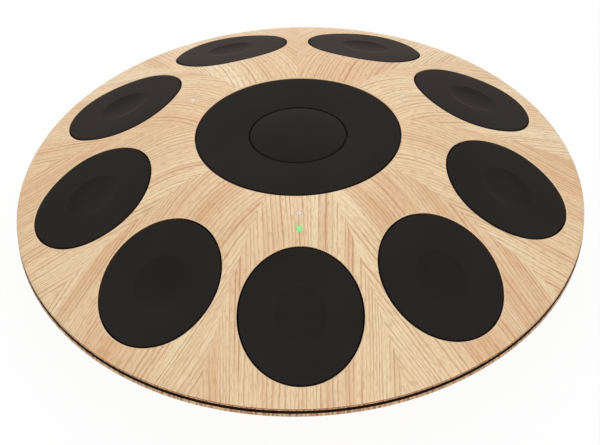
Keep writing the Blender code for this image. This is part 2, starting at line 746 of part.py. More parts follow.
def make_main_board(board_green):
    """The main circuit board on four posts, with its memory, processor and coil."""
    foot = FLOOR_Z + GAP
    low = foot + POST_HEIGHT
    high = low + BOARD_THICKNESS
    bite = BOARD_THICKNESS / 2
    middle = (0, MAIN_BOARD_Y)
    plate = block(MAIN_BOARD_WIDTH, MAIN_BOARD_DEPTH, low, high, middle, MAIN_BOARD_CORNER, 2)
    board = add_part("main_board", plate, board_green)
    extras = []
    across = MAIN_BOARD_WIDTH / 2 - POST_INSET
    along = MAIN_BOARD_DEPTH / 2 - POST_INSET
    for sx in (-1, 1):
        for sy in (-1, 1):
            spot = (sx * across, MAIN_BOARD_Y + sy * along)
            profile = [(0, low + bite), (POST_RADIUS, low + bite), (POST_RADIUS, foot), (0, foot)]
            extras.append(turned(profile, SMALL_SIDES, spot))
    column = MAIN_BOARD_WIDTH / 3
    chips = [(-column, MEMORY_SIDE, MEMORY_HEIGHT), (0, PROCESSOR_SIDE, PROCESSOR_HEIGHT)]
    chips.append((column, COIL_SIDE, COIL_HEIGHT))
    for x, side, tall in chips:
        extras.append(block(side, side, high - bite, high + tall, (x, MAIN_BOARD_Y)))
    shape_with(board, extras, "UNION")


def make_battery(wrap):
    """Cells side by side in one shrink-wrapped pack, stuck to the floor."""
    middle_z = FLOOR_Z + GAP + CELL_RADIUS
    section = []
    for side, order in ((1, range(CELL_COUNT)), (-1, reversed(range(CELL_COUNT)))):
        for cell in order:
            x = (2 * cell - CELL_COUNT + 1) * CELL_RADIUS
            for degrees in (150, 120, 90, 60, 30):
                t = math.radians(degrees)
                section.append((x + side * CELL_RADIUS * math.cos(t), side * CELL_RADIUS * math.sin(t)))
    ends = [
        [Vector((x, BATTERY_Y + end * CELL_LENGTH / 2, middle_z + z)) for x, z in section]
        for end in (-1, 1)
    ]
    add_part("battery_pack", loft(ends), wrap)


def panel_frame():
    """Axes on the lower shell's right flank: X along the rim, Y up the slope, Z outwards."""
    sine, cosine = math.sin(BOWL_TILT), math.cos(BOWL_TILT)
    axes = Matrix(((0, cosine, sine, 0), (1, 0, 0, 0), (0, sine, -cosine, 0), (0, 0, 0, 1)))
    return Matrix.Translation((PANEL_RADIUS, 0, bowl_z(PANEL_RADIUS))) @ axes


def panel_levels():
    """The panel's face, the face's back, the flange's front and the control board's front, along the frame's Z."""
    reach = PANEL_LENGTH / 2 + PANEL_FLANGE
    across = PANEL_WIDTH / 2 + PANEL_FLANGE
    nearest = PANEL_RADIUS - across * math.cos(BOWL_TILT)
    curve = (math.hypot(nearest, reach) - nearest) * math.sin(BOWL_TILT)
    face = -PANEL_RECESS
    back = face - PANEL_FACE
    flange = -curve - SHELL_WALL - 2 * GAP
    board = back - CONTROL_BOARD_DROP
    return face, back, flange, board


def make_control_panel(plastic):
    """A shallow tub set in the lower shell, with holes for the button, the knob and two sockets."""
    face, back, flange, _ = panel_levels()
    end = min(flange, back) - PANEL_FLANGE_HEIGHT

    def outline(grow, z):
        size = (PANEL_LENGTH + 2 * grow, PANEL_WIDTH + 2 * grow, PANEL_CORNER + grow)
        return rounded_rectangle(*size, z)

    rings = [outline(0, face), outline(0, flange), outline(PANEL_FLANGE, flange), outline(PANEL_FLANGE, end)]
    rings += [outline(-PANEL_SIDE_WALL, end), outline(-PANEL_SIDE_WALL, back)]
    panel = add_part("control_panel", loft(rings), plastic, panel_frame())
    low, high = back - GAP, face + GAP
    holes = []
    for slot, radius in ((0, BUTTON_RADIUS), (1, KNOB_SHAFT_RADIUS), (3, JACK_RADIUS)):
        bore = radius + GAP
        profile = [(0, high), (bore, high), (bore, low), (0, low)]
        holes.append(turned(profile, ROUND_SIDES, (control_x(slot), 0)))
    wide, tall = USB_WIDTH + 2 * GAP, USB_HEIGHT + 2 * GAP
    holes.append(block(wide, tall, low, high, (control_x(2), 0), tall / 2, 3))
    shape_with(panel, holes)


def control_x(slot):
    """Place of a control along the panel: 0 the button, 1 the knob, 2 the charging socket, 3 the headphones."""
    return (slot - 1.5) * CONTROL_PITCH


def make_control_board(board_green):
    """The board behind the panel, with the button's switch on it."""
    _, back, _, board = panel_levels()
    width = PANEL_WIDTH - 2 * PANEL_SIDE_WALL - 4 * GAP
    length = PANEL_LENGTH - 2 * PANEL_SIDE_WALL - 4 * GAP
    plate = block(length, width, board - BOARD_THICKNESS, board, corner=PANEL_CORNER / 2, steps=2)
    part = add_part("control_board", plate, board_green, panel_frame())
    top = back - GAP - BUTTON_COLLAR_HEIGHT - BUTTON_TRAVEL - PAD_STOP_CLEARANCE
    bite = BOARD_THICKNESS / 2
    switch = block(SWITCH_SIDE, SWITCH_SIDE, board - bite, top, (control_x(0), 0))
    shape_with(part, [switch], "UNION")


def make_power_button(rubber):
    face, back, _, _ = panel_levels()
    top = face + BUTTON_PROUD
    collar_top = back - GAP
    collar = BUTTON_RADIUS + BUTTON_COLLAR
    edge = BUTTON_PROUD / 3
    low = collar_top - BUTTON_COLLAR_HEIGHT
    profile = [(0, top), (BUTTON_RADIUS - edge, top), (BUTTON_RADIUS, top - edge), (BUTTON_RADIUS, collar_top)]
    profile += [(collar, collar_top), (collar, low), (0, low)]
    frame = panel_frame() @ Matrix.Translation((control_x(0), 0, 0))
    add_part("power_button", turned(profile), rubber, frame)


def make_volume_knob(plastic, steel):
    """The knob with its shaft, and the encoder body that the shaft turns in."""
    face, back, _, board = panel_levels()
    frame = panel_frame() @ Matrix.Translation((control_x(1), 0, 0))
    base = face + GAP
    top = base + KNOB_HEIGHT
    shaft_end = back - GAP - KNOB_SHAFT_GRIP
    edge = KNOB_HEIGHT / 8
    profile = [(0, top), (KNOB_RADIUS - 2 * edge, top), (KNOB_RADIUS - edge, top - edge), (KNOB_RADIUS, base)]
    profile += [(KNOB_SHAFT_RADIUS, base), (KNOB_SHAFT_RADIUS, shaft_end), (0, shaft_end)]
    knob = add_part("volume_knob", turned(profile, 2 * SMALL_SIDES), plastic, frame)
    mark = block(edge, KNOB_RADIUS, top - edge / 2, top + edge, (0, KNOB_RADIUS / 2), edge / 3)
    shape_with(knob, [mark])

    low, high = board + GAP, back - GAP
    body = add_part("volume_encoder", block(ENCODER_SIDE, ENCODER_SIDE, low, high), steel, frame)
    bore = KNOB_SHAFT_RADIUS + GAP
    socket = [(0, high + GAP), (bore, high + GAP), (bore, shaft_end - GAP), (0, shaft_end - GAP)]
    shape_with(body, [turned(socket, ROUND_SIDES)])


def make_sockets(steel, black):
    """The charging socket and the headphone socket, both on the control board."""
    face, back, _, board = panel_levels()
    foot = board + GAP
    mouth = face - GAP
    frame = panel_frame() @ Matrix.Translation((control_x(2), 0, 0))
    can = block(USB_WIDTH, USB_HEIGHT, foot, mouth, corner=USB_HEIGHT / 2, steps=3)
    socket = add_part("charging_socket", can, steel, frame)
    inside = (USB_WIDTH - 2 * USB_WALL, USB_HEIGHT - 2 * USB_WALL)
    deep = mouth - USB_DEPTH
    hollow = block(*inside, deep, mouth + GAP, corner=USB_HEIGHT / 2, steps=3)
    shape_with(socket, [hollow])
    low, high = deep - USB_WALL, mouth - 2 * USB_WALL
    tongue = block(TONGUE_WIDTH, TONGUE_HEIGHT, low, high, corner=TONGUE_CORNER)
    shape_with(socket, [tongue], "UNION")

    frame = panel_frame() @ Matrix.Translation((control_x(3), 0, 0))
    body = block(JACK_BODY, JACK_BODY, foot, back - GAP, corner=0.001)
    jack = add_part("headphone_socket", body, black, frame)
    overlap = back - 4 * GAP
    barrel = turned([(0, mouth), (JACK_RADIUS, mouth), (JACK_RADIUS, overlap), (0, overlap)], ROUND_SIDES)
    shape_with(jack, [barrel], "UNION")
    end = foot + JACK_BODY / 6
    bore = turned([(0, mouth + GAP), (JACK_BORE, mouth + GAP), (JACK_BORE, end), (0, end)], SMALL_SIDES)
    shape_with(jack, [bore])


def make_screws(steel):
    """Set in counterbores from below, through the lower shell and the spacer into the upper shell."""
    head_top = LOWER_TOP_Z - SCREW_GRIP - GAP
    low = head_top - SCREW_HEAD_HEIGHT
    tip = UPPER_BASE_Z + SCREW_BITE
    taper = SCREW_RADIUS / 2
    head = SCREW_HEAD_RADIUS
    profile = [(0, tip), (taper, tip), (SCREW_RADIUS, tip - taper), (SCREW_RADIUS, head_top)]
    profile += [(head, head_top), (head, low + GAP), (head - GAP, low)]
    hexagon = [circle(HEX_RADIUS, 6, z) for z in (low - HEX_DEPTH, low + HEX_DEPTH)]
    for i, place in enumerate(screw_places()):
        screw = add_part(f"shell_screw_{i + 1}", turned(profile, SMALL_SIDES), steel, place)
        shape_with(screw, [loft(hexagon)])


def make_feet(rubber):
    top = BASE_Z - GAP
    profile = [(0, top), (FOOT_RADIUS, top), (FOOT_RADIUS, FOOT_TAPER)]
    profile += [(FOOT_RADIUS - FOOT_TAPER, 0), (0, 0)]
    for i in range(FOOT_COUNT):
        place = frame_at(2 * math.pi * (i + 0.5) / FOOT_COUNT, FOOT_CIRCLE, 0, 0)
        add_part(f"foot_{i + 1}", turned(profile), rubber, place)


def main():
    for old in list(bpy.data.objects):
        bpy.data.objects.remove(old, do_unlink=True)
    bpy.context.scene.collection.objects.link(bpy.data.objects.new("handpan", None))
    ash = finish("ash_veneer", (0.80, 0.60, 0.38), 0.5)
    silicone = finish("black_silicone", (0.022, 0.020, 0.019), 0.6)
    black_plastic = finish("black_plastic", (0.02, 0.02, 0.02), 0.45)
    foam = finish("grey_foam", (0.10, 0.10, 0.11), 0.9)
    film = finish("sensor_film", (0.35, 0.22, 0.08), 0.4)
    clear = finish("frosted_light", (0.85, 0.85, 0.85), 0.35)
    green = finish("green_light", (0.10, 0.80, 0.25), 0.35)
    board = finish("circuit_board", (0.02, 0.16, 0.07), 0.4)
    steel = finish("plated_steel", (0.45, 0.45, 0.46), 0.35, 1.0)
    paper = finish("cone_paper", (0.03, 0.03, 0.03), 0.8)
    wrap = finish("battery_wrap", (0.03, 0.12, 0.35), 0.4)
    rubber = finish("black_rubber", (0.02, 0.02, 0.02), 0.75)
    make_upper_shell(ash)
    make_lower_shell(ash)
    make_rim_spacer(black_plastic)
    make_tone_pads(silicone)
    make_pad_bed(foam)
    make_pad_sensors(film)
    make_centre_pads(silicone, black_plastic, film)
    make_lights(clear, green, board)
    make_speakers(steel, paper, black_plastic)
    make_port_tube(black_plastic)
    make_main_board(board)
    make_battery(wrap)
    make_control_panel(black_plastic)
    make_control_board(board)
    make_power_button(rubber)
    make_volume_knob(black_plastic, steel)
    make_sockets(steel, black_plastic)
    make_screws(steel)
    make_feet(rubber)


main()
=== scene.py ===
# %% [markdown]
# A digital handpan is a wooden lens with nine soft oval pads round a large flat one.
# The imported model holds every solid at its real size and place, and all that follows is built on it.
# Nothing here moves or resizes it. A solid that shows gets a finer piece, and the rest get a finish.

# %% Load the frame
import json
import math

import bmesh
import bpy
from mathutils import Matrix, Vector


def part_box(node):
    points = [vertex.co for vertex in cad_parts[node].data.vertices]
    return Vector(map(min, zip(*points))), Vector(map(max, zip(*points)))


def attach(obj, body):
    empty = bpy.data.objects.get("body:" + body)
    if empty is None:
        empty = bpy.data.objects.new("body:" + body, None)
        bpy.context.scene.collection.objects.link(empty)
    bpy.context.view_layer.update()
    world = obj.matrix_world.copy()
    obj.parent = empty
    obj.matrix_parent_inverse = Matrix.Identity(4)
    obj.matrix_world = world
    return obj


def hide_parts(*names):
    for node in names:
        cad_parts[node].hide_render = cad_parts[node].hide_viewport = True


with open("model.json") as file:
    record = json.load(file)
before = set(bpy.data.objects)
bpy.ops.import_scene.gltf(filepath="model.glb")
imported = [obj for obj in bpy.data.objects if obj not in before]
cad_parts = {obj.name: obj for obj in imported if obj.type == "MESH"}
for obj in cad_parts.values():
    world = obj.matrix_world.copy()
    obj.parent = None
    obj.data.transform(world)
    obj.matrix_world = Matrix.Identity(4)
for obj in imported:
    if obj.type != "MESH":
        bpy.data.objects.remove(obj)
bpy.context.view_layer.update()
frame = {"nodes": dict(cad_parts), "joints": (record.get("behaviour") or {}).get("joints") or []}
joints = {joint["name"]: joint for joint in frame["joints"]}
print("solids:", len(frame["nodes"]), "joints:", len(joints))

# %% [markdown]
# Most sizes can be read off the frame, so that a piece always fits the solid that it covers.
# A box gives a node's two corners. For a piece at a slant, its reach along its own axis says more.

# %% Read sizes off the frame
def size(node):
    low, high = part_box(node)
    return high - low


def middle(node):
    low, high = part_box(node)
    return (low + high) / 2


def bottom_and_top(node):
    low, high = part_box(node)
    return low.z, high.z


def reach(node, origin, axis):
    """The lowest and highest point of a solid along an axis through origin."""
    heights = [(vertex.co - origin).dot(axis) for vertex in frame["nodes"][node].data.vertices]
    return min(heights), max(heights)


RIM_RADIUS = size("upper_shell").y / 2
ROUNDNESS = size("upper_shell").x / size("upper_shell").y
BASE_Z, LOWER_TOP_Z = bottom_and_top("lower_shell")
UPPER_BASE_Z = bottom_and_top("upper_shell")[0]
UNDER_PADS, CROWN_Z = bottom_and_top("centre_ring_pad")
CENTRE_HALF_WIDTH = size("centre_ring_pad").x / 2
CENTRE_HALF_DEPTH = size("centre_ring_pad").y / 2
print("rim %.1f mm, crown %.1f mm" % (1000 * RIM_RADIUS, 1000 * CROWN_Z))

# %% [markdown]
# The body's curves can't be read off a box, so their few driving sizes are written here again, in metres.
# Each shell is a flat middle, a rounded shoulder, a straight flank and a curved edge.
# One formula draws both shells, and the finer surface then lies on the faceted one.

# %% Curves of the two shells
GAP = 0.0003
SHELL_WALL = 0.004
RIM_LANDING = 0.016
UPPER_EDGE_BAND = 0.0027
LOWER_EDGE_BAND = 0.004
FLANK_TILT = math.radians(27.6)
DOME_EDGE_TILT = math.radians(34)
DOME_EDGE_WIDTH = 0.012
SHOULDER_WIDTH = 0.0443
BASE_RADIUS = 0.140
BASE_BLEND = 0.035
BOWL_TILT = math.radians(21.2)
BOWL_FLARE_TILT = math.radians(8.5)
BOWL_FLARE_WIDTH = 0.022
LANDING_RADIUS = RIM_RADIUS - RIM_LANDING
UPPER_CORNER_Z = UPPER_BASE_Z + UPPER_EDGE_BAND


def clamp(value, low, high):
    return max(low, min(high, value))


def smooth_step(low, high, value):
    t = clamp((value - low) / (high - low), 0, 1)
    return t * t * (3 - 2 * t)


def profile_rise(distance, flat, blend, tilt, edge, edge_tilt):
    """Height above the rim's corner at a distance from the axis."""
    slope = math.tan(tilt)
    rim_slope = math.tan(edge_tilt)
    in_edge = clamp(RIM_RADIUS - distance, 0, edge)
    on_flank = clamp(RIM_RADIUS - edge - distance, 0, RIM_RADIUS - edge - flat - blend)
    on_shoulder = clamp(flat + blend - distance, 0, blend)
    rise = rim_slope * in_edge + (slope - rim_slope) * in_edge**2 / (2 * edge)
    return rise + slope * (on_flank + on_shoulder - on_shoulder**2 / (2 * blend))


# %% [markdown]
# Between the pads the dome is slightly faceted, one soft flat for each pad.
# A smooth maximum gives the distance measured square to the nearest flat, and a share of it is mixed in.

# %% The dome, with its nine soft flats
PAD_COUNT = 9
PAD_STEP = 2 * math.pi / PAD_COUNT
RIM_MARGIN = 0.0175
FACET_SHARE = 0.85
CREASE_SOFTNESS = 0.006
PAD_INNER = CENTRE_HALF_WIDTH + SHOULDER_WIDTH
PAD_OUTER = RIM_RADIUS - RIM_MARGIN
PAD_RING_RADIUS = (PAD_INNER + PAD_OUTER) / 2
WALL_DROP = SHELL_WALL / math.cos(FLANK_TILT)


def facet_distance(x, y):
    radius = math.hypot(x, y)
    total = 0
    for k in range(PAD_COUNT):
        along = x * math.sin(k * PAD_STEP) - y * math.cos(k * PAD_STEP)
        total += math.exp((along - radius) / CREASE_SOFTNESS)
    square = radius + CREASE_SOFTNESS * math.log(total)
    share = FACET_SHARE * smooth_step(CENTRE_HALF_WIDTH, PAD_RING_RADIUS, radius)
    share *= 1 - smooth_step(PAD_RING_RADIUS, RIM_RADIUS, radius)
    return radius + share * (square - radius)


def dome_z(x, y):
    curve = (CENTRE_HALF_WIDTH, SHOULDER_WIDTH, FLANK_TILT, DOME_EDGE_WIDTH, DOME_EDGE_TILT)
    return UPPER_CORNER_Z + profile_rise(facet_distance(x, y), *curve)


def bowl_z(x, y):
    curve = (BASE_RADIUS, BASE_BLEND, BOWL_TILT, BOWL_FLARE_WIDTH, BOWL_FLARE_TILT)
    return LOWER_TOP_Z - LOWER_EDGE_BAND - profile_rise(math.hypot(x, y), *curve)


print("dome over its crown by %.3f mm" % (1000 * (dome_z(0, 0) - CROWN_Z)))

# %% [markdown]
# The camera stands in front and well above, with a long lens, as in the picture.
# Its place, pitch, yaw and slight roll come from fitting the rim and the nine ovals to the picture.
# A long lens is kept because a short one would swell the front pads.

# %% Place the camera
IMAGE_WIDTH = 600
FOCAL_PIXELS = 2137.6
SENSOR_WIDTH = 36
CAMERA_X = 0.01695
CAMERA_Y = -1.48974
CAMERA_RISE = 1.33543
CAMERA_YAW = math.radians(0.673)
CAMERA_PITCH = math.radians(42.490)
CAMERA_ROLL = math.radians(-1.645)


def camera_axes():
    back = Vector((math.sin(CAMERA_YAW), -math.cos(CAMERA_YAW), math.tan(CAMERA_PITCH))).normalized()
    right = Vector((math.cos(CAMERA_YAW), math.sin(CAMERA_YAW), 0))
    turn = Matrix.Rotation(CAMERA_ROLL, 3, back)
    return turn @ right, turn @ back.cross(right), back


lens = bpy.data.cameras.new("camera")
lens.sensor_width = SENSOR_WIDTH
lens.lens = FOCAL_PIXELS * SENSOR_WIDTH / IMAGE_WIDTH
camera = bpy.data.objects.new("camera", lens)
bpy.context.scene.collection.objects.link(camera)
camera.matrix_world = Matrix(camera_axes()).transposed().to_4x4()
camera.location = (CAMERA_X, CAMERA_Y, UPPER_CORNER_Z + CAMERA_RISE)
bpy.context.scene.camera = camera
bpy.context.scene.view_settings.view_transform = "Standard"
print("lens: %.1f mm" % lens.lens)

# %% [markdown]
# A finish is a small tree of shader nodes. Writing every node and link out would bury the idea in wiring.
# This helper adds one node for each step and hands back its result, so a finish reads like a recipe.

# %% A helper for shader recipes
class Recipe:
    """A material made step by step. Values that never change go straight on the shader's sockets."""

    def __init__(self, name, roughness=0.5, gloss=0.5, **constants):
        self.material = bpy.data.materials.new(name)
        self.material.use_nodes = True
        self.tree = self.material.node_tree
        self.shader = self.tree.nodes["Principled BSDF"]
        constants.update({"Roughness": roughness, "Specular IOR Level": gloss})
        for socket, value in constants.items():
            self.shader.inputs[socket].default_value = value

    def put(self, socket, value):
        if isinstance(value, bpy.types.NodeSocket):
            self.tree.links.new(value, socket)
        else:
            socket.default_value = value

    def add(self, kind, inputs, **settings):
        node = self.tree.nodes.new("ShaderNode" + kind)
        for name, value in settings.items():
            setattr(node, name, value)
        for name, value in inputs.items():
            self.put(node.inputs[name], value)
        return node

    def math(self, operation, *values):
        return self.add("Math", dict(enumerate(values)), operation=operation).outputs[0]

    def place(self):
        return self.add("TexCoord", {}).outputs["Object"]

    def vector(self, x, y, z=0.0):
        return self.add("CombineXYZ", {"X": x, "Y": y, "Z": z}).outputs[0]

    def split(self, vector):
        return self.add("SeparateXYZ", {0: vector}).outputs

    def noise(self, vector, scale, detail):
        inputs = {"Vector": vector, "Scale": scale, "Detail": detail}
        return self.add("TexNoise", inputs).outputs["Fac"]

    def ramp(self, factor, *stops):
        """Colours or plain greys by place along the factor."""
        node = self.add("ValToRGB", {"Fac": factor})
        elements = node.color_ramp.elements
        while len(elements) < len(stops):
            elements.new(0.5)
        for element, (place, colour) in zip(elements, stops):
            element.position = place
            element.color = colour if isinstance(colour, tuple) else (colour, colour, colour, 1)
        return node.outputs["Color"]

    def shades(self, factor, dark, light):
        """Two shades with a soft step between them."""
        return self.ramp(factor, (0.35, dark), (0.65, light))

    def mix(self, factor, first, second):
        return self.add("Mix", {0: factor, 6: first, 7: second}, data_type="RGBA").outputs[2]

    def finish(self, colour, height=None, depth=0.0001, roughness=None):
        self.put(self.shader.inputs["Base Color"], colour)
        if height is not None:
            bump = self.add("Bump", {"Height": height, "Distance": depth})
            self.put(self.shader.inputs["Normal"], bump.outputs["Normal"])
        if roughness is not None:
            self.put(self.shader.inputs["Roughness"], roughness)
        print("finish:", self.material.name)
        return self.material


def paint(red, green, blue):
    """A shader colour from the 0 to 255 values that a picture editor shows."""
    shares = [channel / 255 for channel in (red, green, blue)]
    linear = [s / 12.92 if s <= 0.04045 else ((s + 0.055) / 1.055) ** 2.4 for s in shares]
    return (*linear, 1)


# %% [markdown]
# The floor is plain and pale. To the camera it is mostly its own white, as in a cut-out picture.
# The rest of it is lit as usual, so that a faint shadow stays under the rim.
# Seen from below it is clear, so that the underside can be looked at.

# %% Lay the floor
FLOOR_HALF = 5.0
CUT_OUT_SHARE = 0.94


def seen_directly(tree):
    """1 for rays from the camera, a reflection or clear stuff, and 0 for those that only carry light."""
    path = tree.nodes.new("ShaderNodeLightPath")
    seen = path.outputs["Is Camera Ray"]
    for ray in ("Is Glossy Ray", "Is Transmission Ray"):
        either = tree.nodes.new("ShaderNodeMath")
        either.operation = "MAXIMUM"
        tree.links.new(seen, either.inputs[0])
        tree.links.new(path.outputs[ray], either.inputs[1])
        seen = either.outputs[0]
    return seen


def make_floor():
    recipe = Recipe("pale_floor", 0.9)
    ground = recipe.finish(paint(250, 250, 250))
    white = recipe.add("Emission", {"Color": (1, 1, 1, 1), "Strength": 1})
    share = recipe.math("MULTIPLY", seen_directly(recipe.tree), CUT_OUT_SHARE)
    lit = recipe.add("MixShader", {0: share, 1: recipe.shader.outputs[0], 2: white.outputs[0]})
    clear = recipe.add("BsdfTransparent", {})
    below = recipe.add("NewGeometry", {}).outputs["Backfacing"]
    shown = recipe.add("MixShader", {0: below, 1: lit.outputs[0], 2: clear.outputs[0]})
    recipe.put(recipe.tree.nodes["Material Output"].inputs["Surface"], shown.outputs[0])
    mesh = bpy.data.meshes.new("floor")
    signs = ((-1, -1), (1, -1), (1, 1), (-1, 1))
    mesh.from_pydata([(x * FLOOR_HALF, y * FLOOR_HALF, 0) for x, y in signs], [], [(0, 1, 2, 3)])
    mesh.materials.append(ground)
    floor = bpy.data.objects.new("floor", mesh)
    bpy.context.scene.collection.objects.link(floor)


make_floor()

# %% [markdown]
# The light is a studio's: one softbox behind, a wider one in front, and pale walls all round.
# The one behind is smaller and nearer, which makes each dish dark on its far side and pale on its near one.
# The walls are pure white to the camera and in reflections, but light the object more gently than that.

# %% Light the studio
WALL_LIGHT = 0.75


def softbox(name, place, width, power):
    lamp = bpy.data.lights.new(name, "AREA")
    lamp.size = width
    lamp.energy = power
    light = bpy.data.objects.new(name, lamp)
    bpy.context.scene.collection.objects.link(light)
    light.location = place
    light.rotation_euler = (-Vector(place)).to_track_quat("-Z", "Y").to_euler()
    print("softbox:", name, power, "W")


def make_walls():
    world = bpy.data.worlds.new("studio")
    bpy.context.scene.world = world
    world.use_nodes = True
    tree = world.node_tree
    light = tree.nodes["Background"]
    light.inputs["Color"].default_value = (1, 1, 1, 1)
    light.inputs["Strength"].default_value = WALL_LIGHT
    shown = tree.nodes.new("ShaderNodeBackground")
    shown.inputs["Color"].default_value = (1, 1, 1, 1)
    mix = tree.nodes.new("ShaderNodeMixShader")
    tree.links.new(seen_directly(tree), mix.inputs[0])
    tree.links.new(light.outputs[0], mix.inputs[1])
    tree.links.new(shown.outputs[0], mix.inputs[2])
    tree.links.new(mix.outputs[0], tree.nodes["World Output"].inputs["Surface"])


softbox("key", place=(-0.3, 1.7, 1.3), width=1.0, power=8)
softbox("fill", place=(0.4, -1.7, 1.7), width=1.4, power=9)
make_walls()

# %% [markdown]
# The body is veneered with pale ash, laid as nine wedges whose grain runs straight down the middle of each.
# Where two wedges meet, their lines meet in a chevron.
# So the shader finds the wedge from the angle, then turns the coordinates until the grain runs along Y.

# %% Coordinates along each wedge's grain
def wedge_grain(recipe, seed):
    """The place across the grain, the place along it, and a number for the wedge."""
    place = recipe.place()
    corner = recipe.split(place)
    angle = recipe.math("ARCTAN2", corner["X"], recipe.math("MULTIPLY", corner["Y"], -1))
    wedge = recipe.math("ROUND", recipe.math("DIVIDE", angle, PAD_STEP))
    back = recipe.math("MULTIPLY", wedge, -PAD_STEP)
    turned_back = recipe.add("VectorRotate", {"Vector": place, "Angle": back}, rotation_type="Z_AXIS")
    grain = recipe.split(turned_back.outputs[0])
    return grain["X"], grain["Y"], recipe.math("MULTIPLY_ADD", wedge, 3.7, seed)


# %% [markdown]
# Ash grows in clear rings. A cut along the trunk shows each as a brown line, sharp on one side and soft on
# the other. A sawtooth across the grain draws that, and slow noise bends the lines and varies their spacing.
# Broad strips of straw, tan and pink lie under the lines, and short dark pores lie in them.
# A picture of wood would need less work, but its grain couldn't be turned wedge by wedge.

# %% Ash veneer
RING_PITCH = 0.0039


def ash_veneer(name, seed):
    recipe = Recipe(name, gloss=0.3)
    across, along, wedge = wedge_grain(recipe, seed)

    def streaks(x, share, scale, detail):
        """Noise drawn out along the grain, the more so the smaller the share."""
        place = recipe.vector(x, recipe.math("MULTIPLY", along, share), wedge)
        return recipe.noise(place, scale, detail)

    slow = recipe.math("SUBTRACT", streaks(across, 0.22, 13, 1), 0.5)
    fine = recipe.math("SUBTRACT", streaks(across, 0.22, 80, 2), 0.5)
    rough = recipe.math("SUBTRACT", streaks(across, 0.35, 620, 2), 0.5)
    bend = recipe.math("MULTIPLY_ADD", slow, 0.027, recipe.math("MULTIPLY", fine, 0.0026))
    line = recipe.math("ADD", across, recipe.math("MULTIPLY_ADD", rough, 0.0011, bend))
    spread = recipe.noise(recipe.vector(line, wedge), 45, 1)
    phase = recipe.math("MULTIPLY_ADD", line, 1 / RING_PITCH, recipe.math("MULTIPLY", spread, 4))
    tooth = recipe.math("FRACT", phase)
    sharp_then_soft = ((0.0, 1.0), (0.12, 0.85), (0.24, 0.3), (0.45, 0.06), (0.9, 0.0), (1.0, 0.9))
    ring = recipe.ramp(tooth, *sharp_then_soft)
    fade = recipe.ramp(streaks(line, 0.06, 140, 2), (0.38, 0.12), (0.6, 1.0))
    ring = recipe.math("MULTIPLY", ring, fade)
    wood = recipe.ramp(
        streaks(line, 0.03, 62, 3),
        (0.32, paint(248, 227, 189)),
        (0.46, paint(244, 217, 177)),
        (0.57, paint(239, 208, 170)),
        (0.7, paint(230, 191, 148)),
    )
    warm = recipe.ramp(streaks(line, 0.4, 11, 1), (0.42, 0.0), (0.66, 0.55))
    wood = recipe.mix(warm, wood, paint(230, 183, 135))
    wood = recipe.mix(recipe.math("MULTIPLY", ring, 0.8), wood, paint(180, 128, 84))
    pore = recipe.ramp(streaks(line, 0.12, 1100, 2), (0.52, 0.0), (0.62, 1.0))
    pore = recipe.math("MULTIPLY", pore, 0.42)
    wood = recipe.mix(pore, wood, paint(193, 146, 102))
    return recipe.finish(wood, recipe.math("ADD", ring, pore), -0.00004)


dome_ash = ash_veneer("ash_veneer_dome", 1.0)
bowl_ash = ash_veneer("ash_veneer_bowl", 41.0)

# %% [markdown]
# Where the shell is cut, other wood shows. The pad openings have dark brown walls with a pale eased edge.
# The rim's upright band shows short stripes of end grain, and a thin brown line of glue under the veneer.
# The two faces that look into the seam are painted nearly black, round to their eased corners, as painted
# shade in the seam.
# Each of these shows only in a strip a few millimetres wide, so noise between two shades is enough.

# %% Cut edges of the wood
def patchy(name, roughness, scale, dark, light, gloss=0.5):
    """A smooth finish whose two shades lie in soft patches."""
    recipe = Recipe(name, roughness, gloss)
    return recipe.finish(recipe.shades(recipe.noise(recipe.place(), scale, 2), dark, light))


def cut_wood():
    recipe = Recipe("cut_wood", 0.7, gloss=0.2)
    corner = recipe.split(recipe.place())
    layers = recipe.vector(corner["X"], corner["Y"], recipe.math("MULTIPLY", corner["Z"], 9))
    layer = recipe.noise(layers, 160, 2)
    return recipe.finish(recipe.shades(layer, paint(136, 70, 28), paint(180, 104, 50)))


def end_grain():
    recipe = Recipe("end_grain")
    corner = recipe.split(recipe.place())
    arc = recipe.math("MULTIPLY", recipe.math("ARCTAN2", corner["X"], corner["Y"]), RIM_RADIUS)
    stripe = recipe.noise(recipe.vector(arc, recipe.math("MULTIPLY", corner["Z"], 0.2)), 430, 3)
    browns = ((0.38, paint(146, 101, 68)), (0.48, paint(188, 146, 106)), (0.6, paint(217, 180, 138)))
    return recipe.finish(recipe.ramp(stripe, *browns), stripe, 0.00003)


# Near-black with a brown cast: the rim spacer's own black, and painted shade on the shell faces in the seam.
def black_and_seam_shade():
    recipe = Recipe("black_and_seam_shade", 0.7, gloss=0.06)
    speck = recipe.noise(recipe.place(), 1500, 3)
    return recipe.finish(recipe.shades(speck, paint(28, 11, 2), paint(38, 19, 6)), speck, 0.00002)


FACE, CUT, EASED, EDGE, GLUE, SEAM = range(6)
seam_black = black_and_seam_shade()
edge_finishes = [
    cut_wood(),
    patchy("eased_wood", 0.5, 420, paint(246, 214, 170), paint(254, 228, 190), gloss=0.3),
    end_grain(),
    patchy("glue_line", 0.5, 240, paint(128, 76, 42), paint(168, 110, 68)),
    seam_black,
]

# %% [markdown]
# The pads are black silicone: nearly matt, a little warmer than neutral, and paler when seen at a slant.
# A weak broad gloss and a faint warm sheen give that paler look by themselves.
# The moulded grain is too fine to see but softens every highlight.
# The dishes are painted a touch darker and greyer than the flat round them, as painted shade in the hollow.

# %% Black silicone
def black_silicone(name, dark, light):
    looks = {"Specular Tint": (1, 0.88, 0.83, 1), "Sheen Weight": 0.055}
    looks.update({"Sheen Roughness": 0.4, "Sheen Tint": (1, 0.62, 0.46, 1)})
    recipe = Recipe(name, 0.6, gloss=0.014, **looks)
    place = recipe.place()
    cloud = recipe.noise(place, 18, 3)
    colour = recipe.ramp(cloud, (0.3, dark), (0.7, light))
    grain = recipe.noise(place, 2600, 2)
    roughness = recipe.math("MULTIPLY_ADD", cloud, 0.14, 0.52)
    return recipe.finish(colour, grain, 0.00002, roughness)


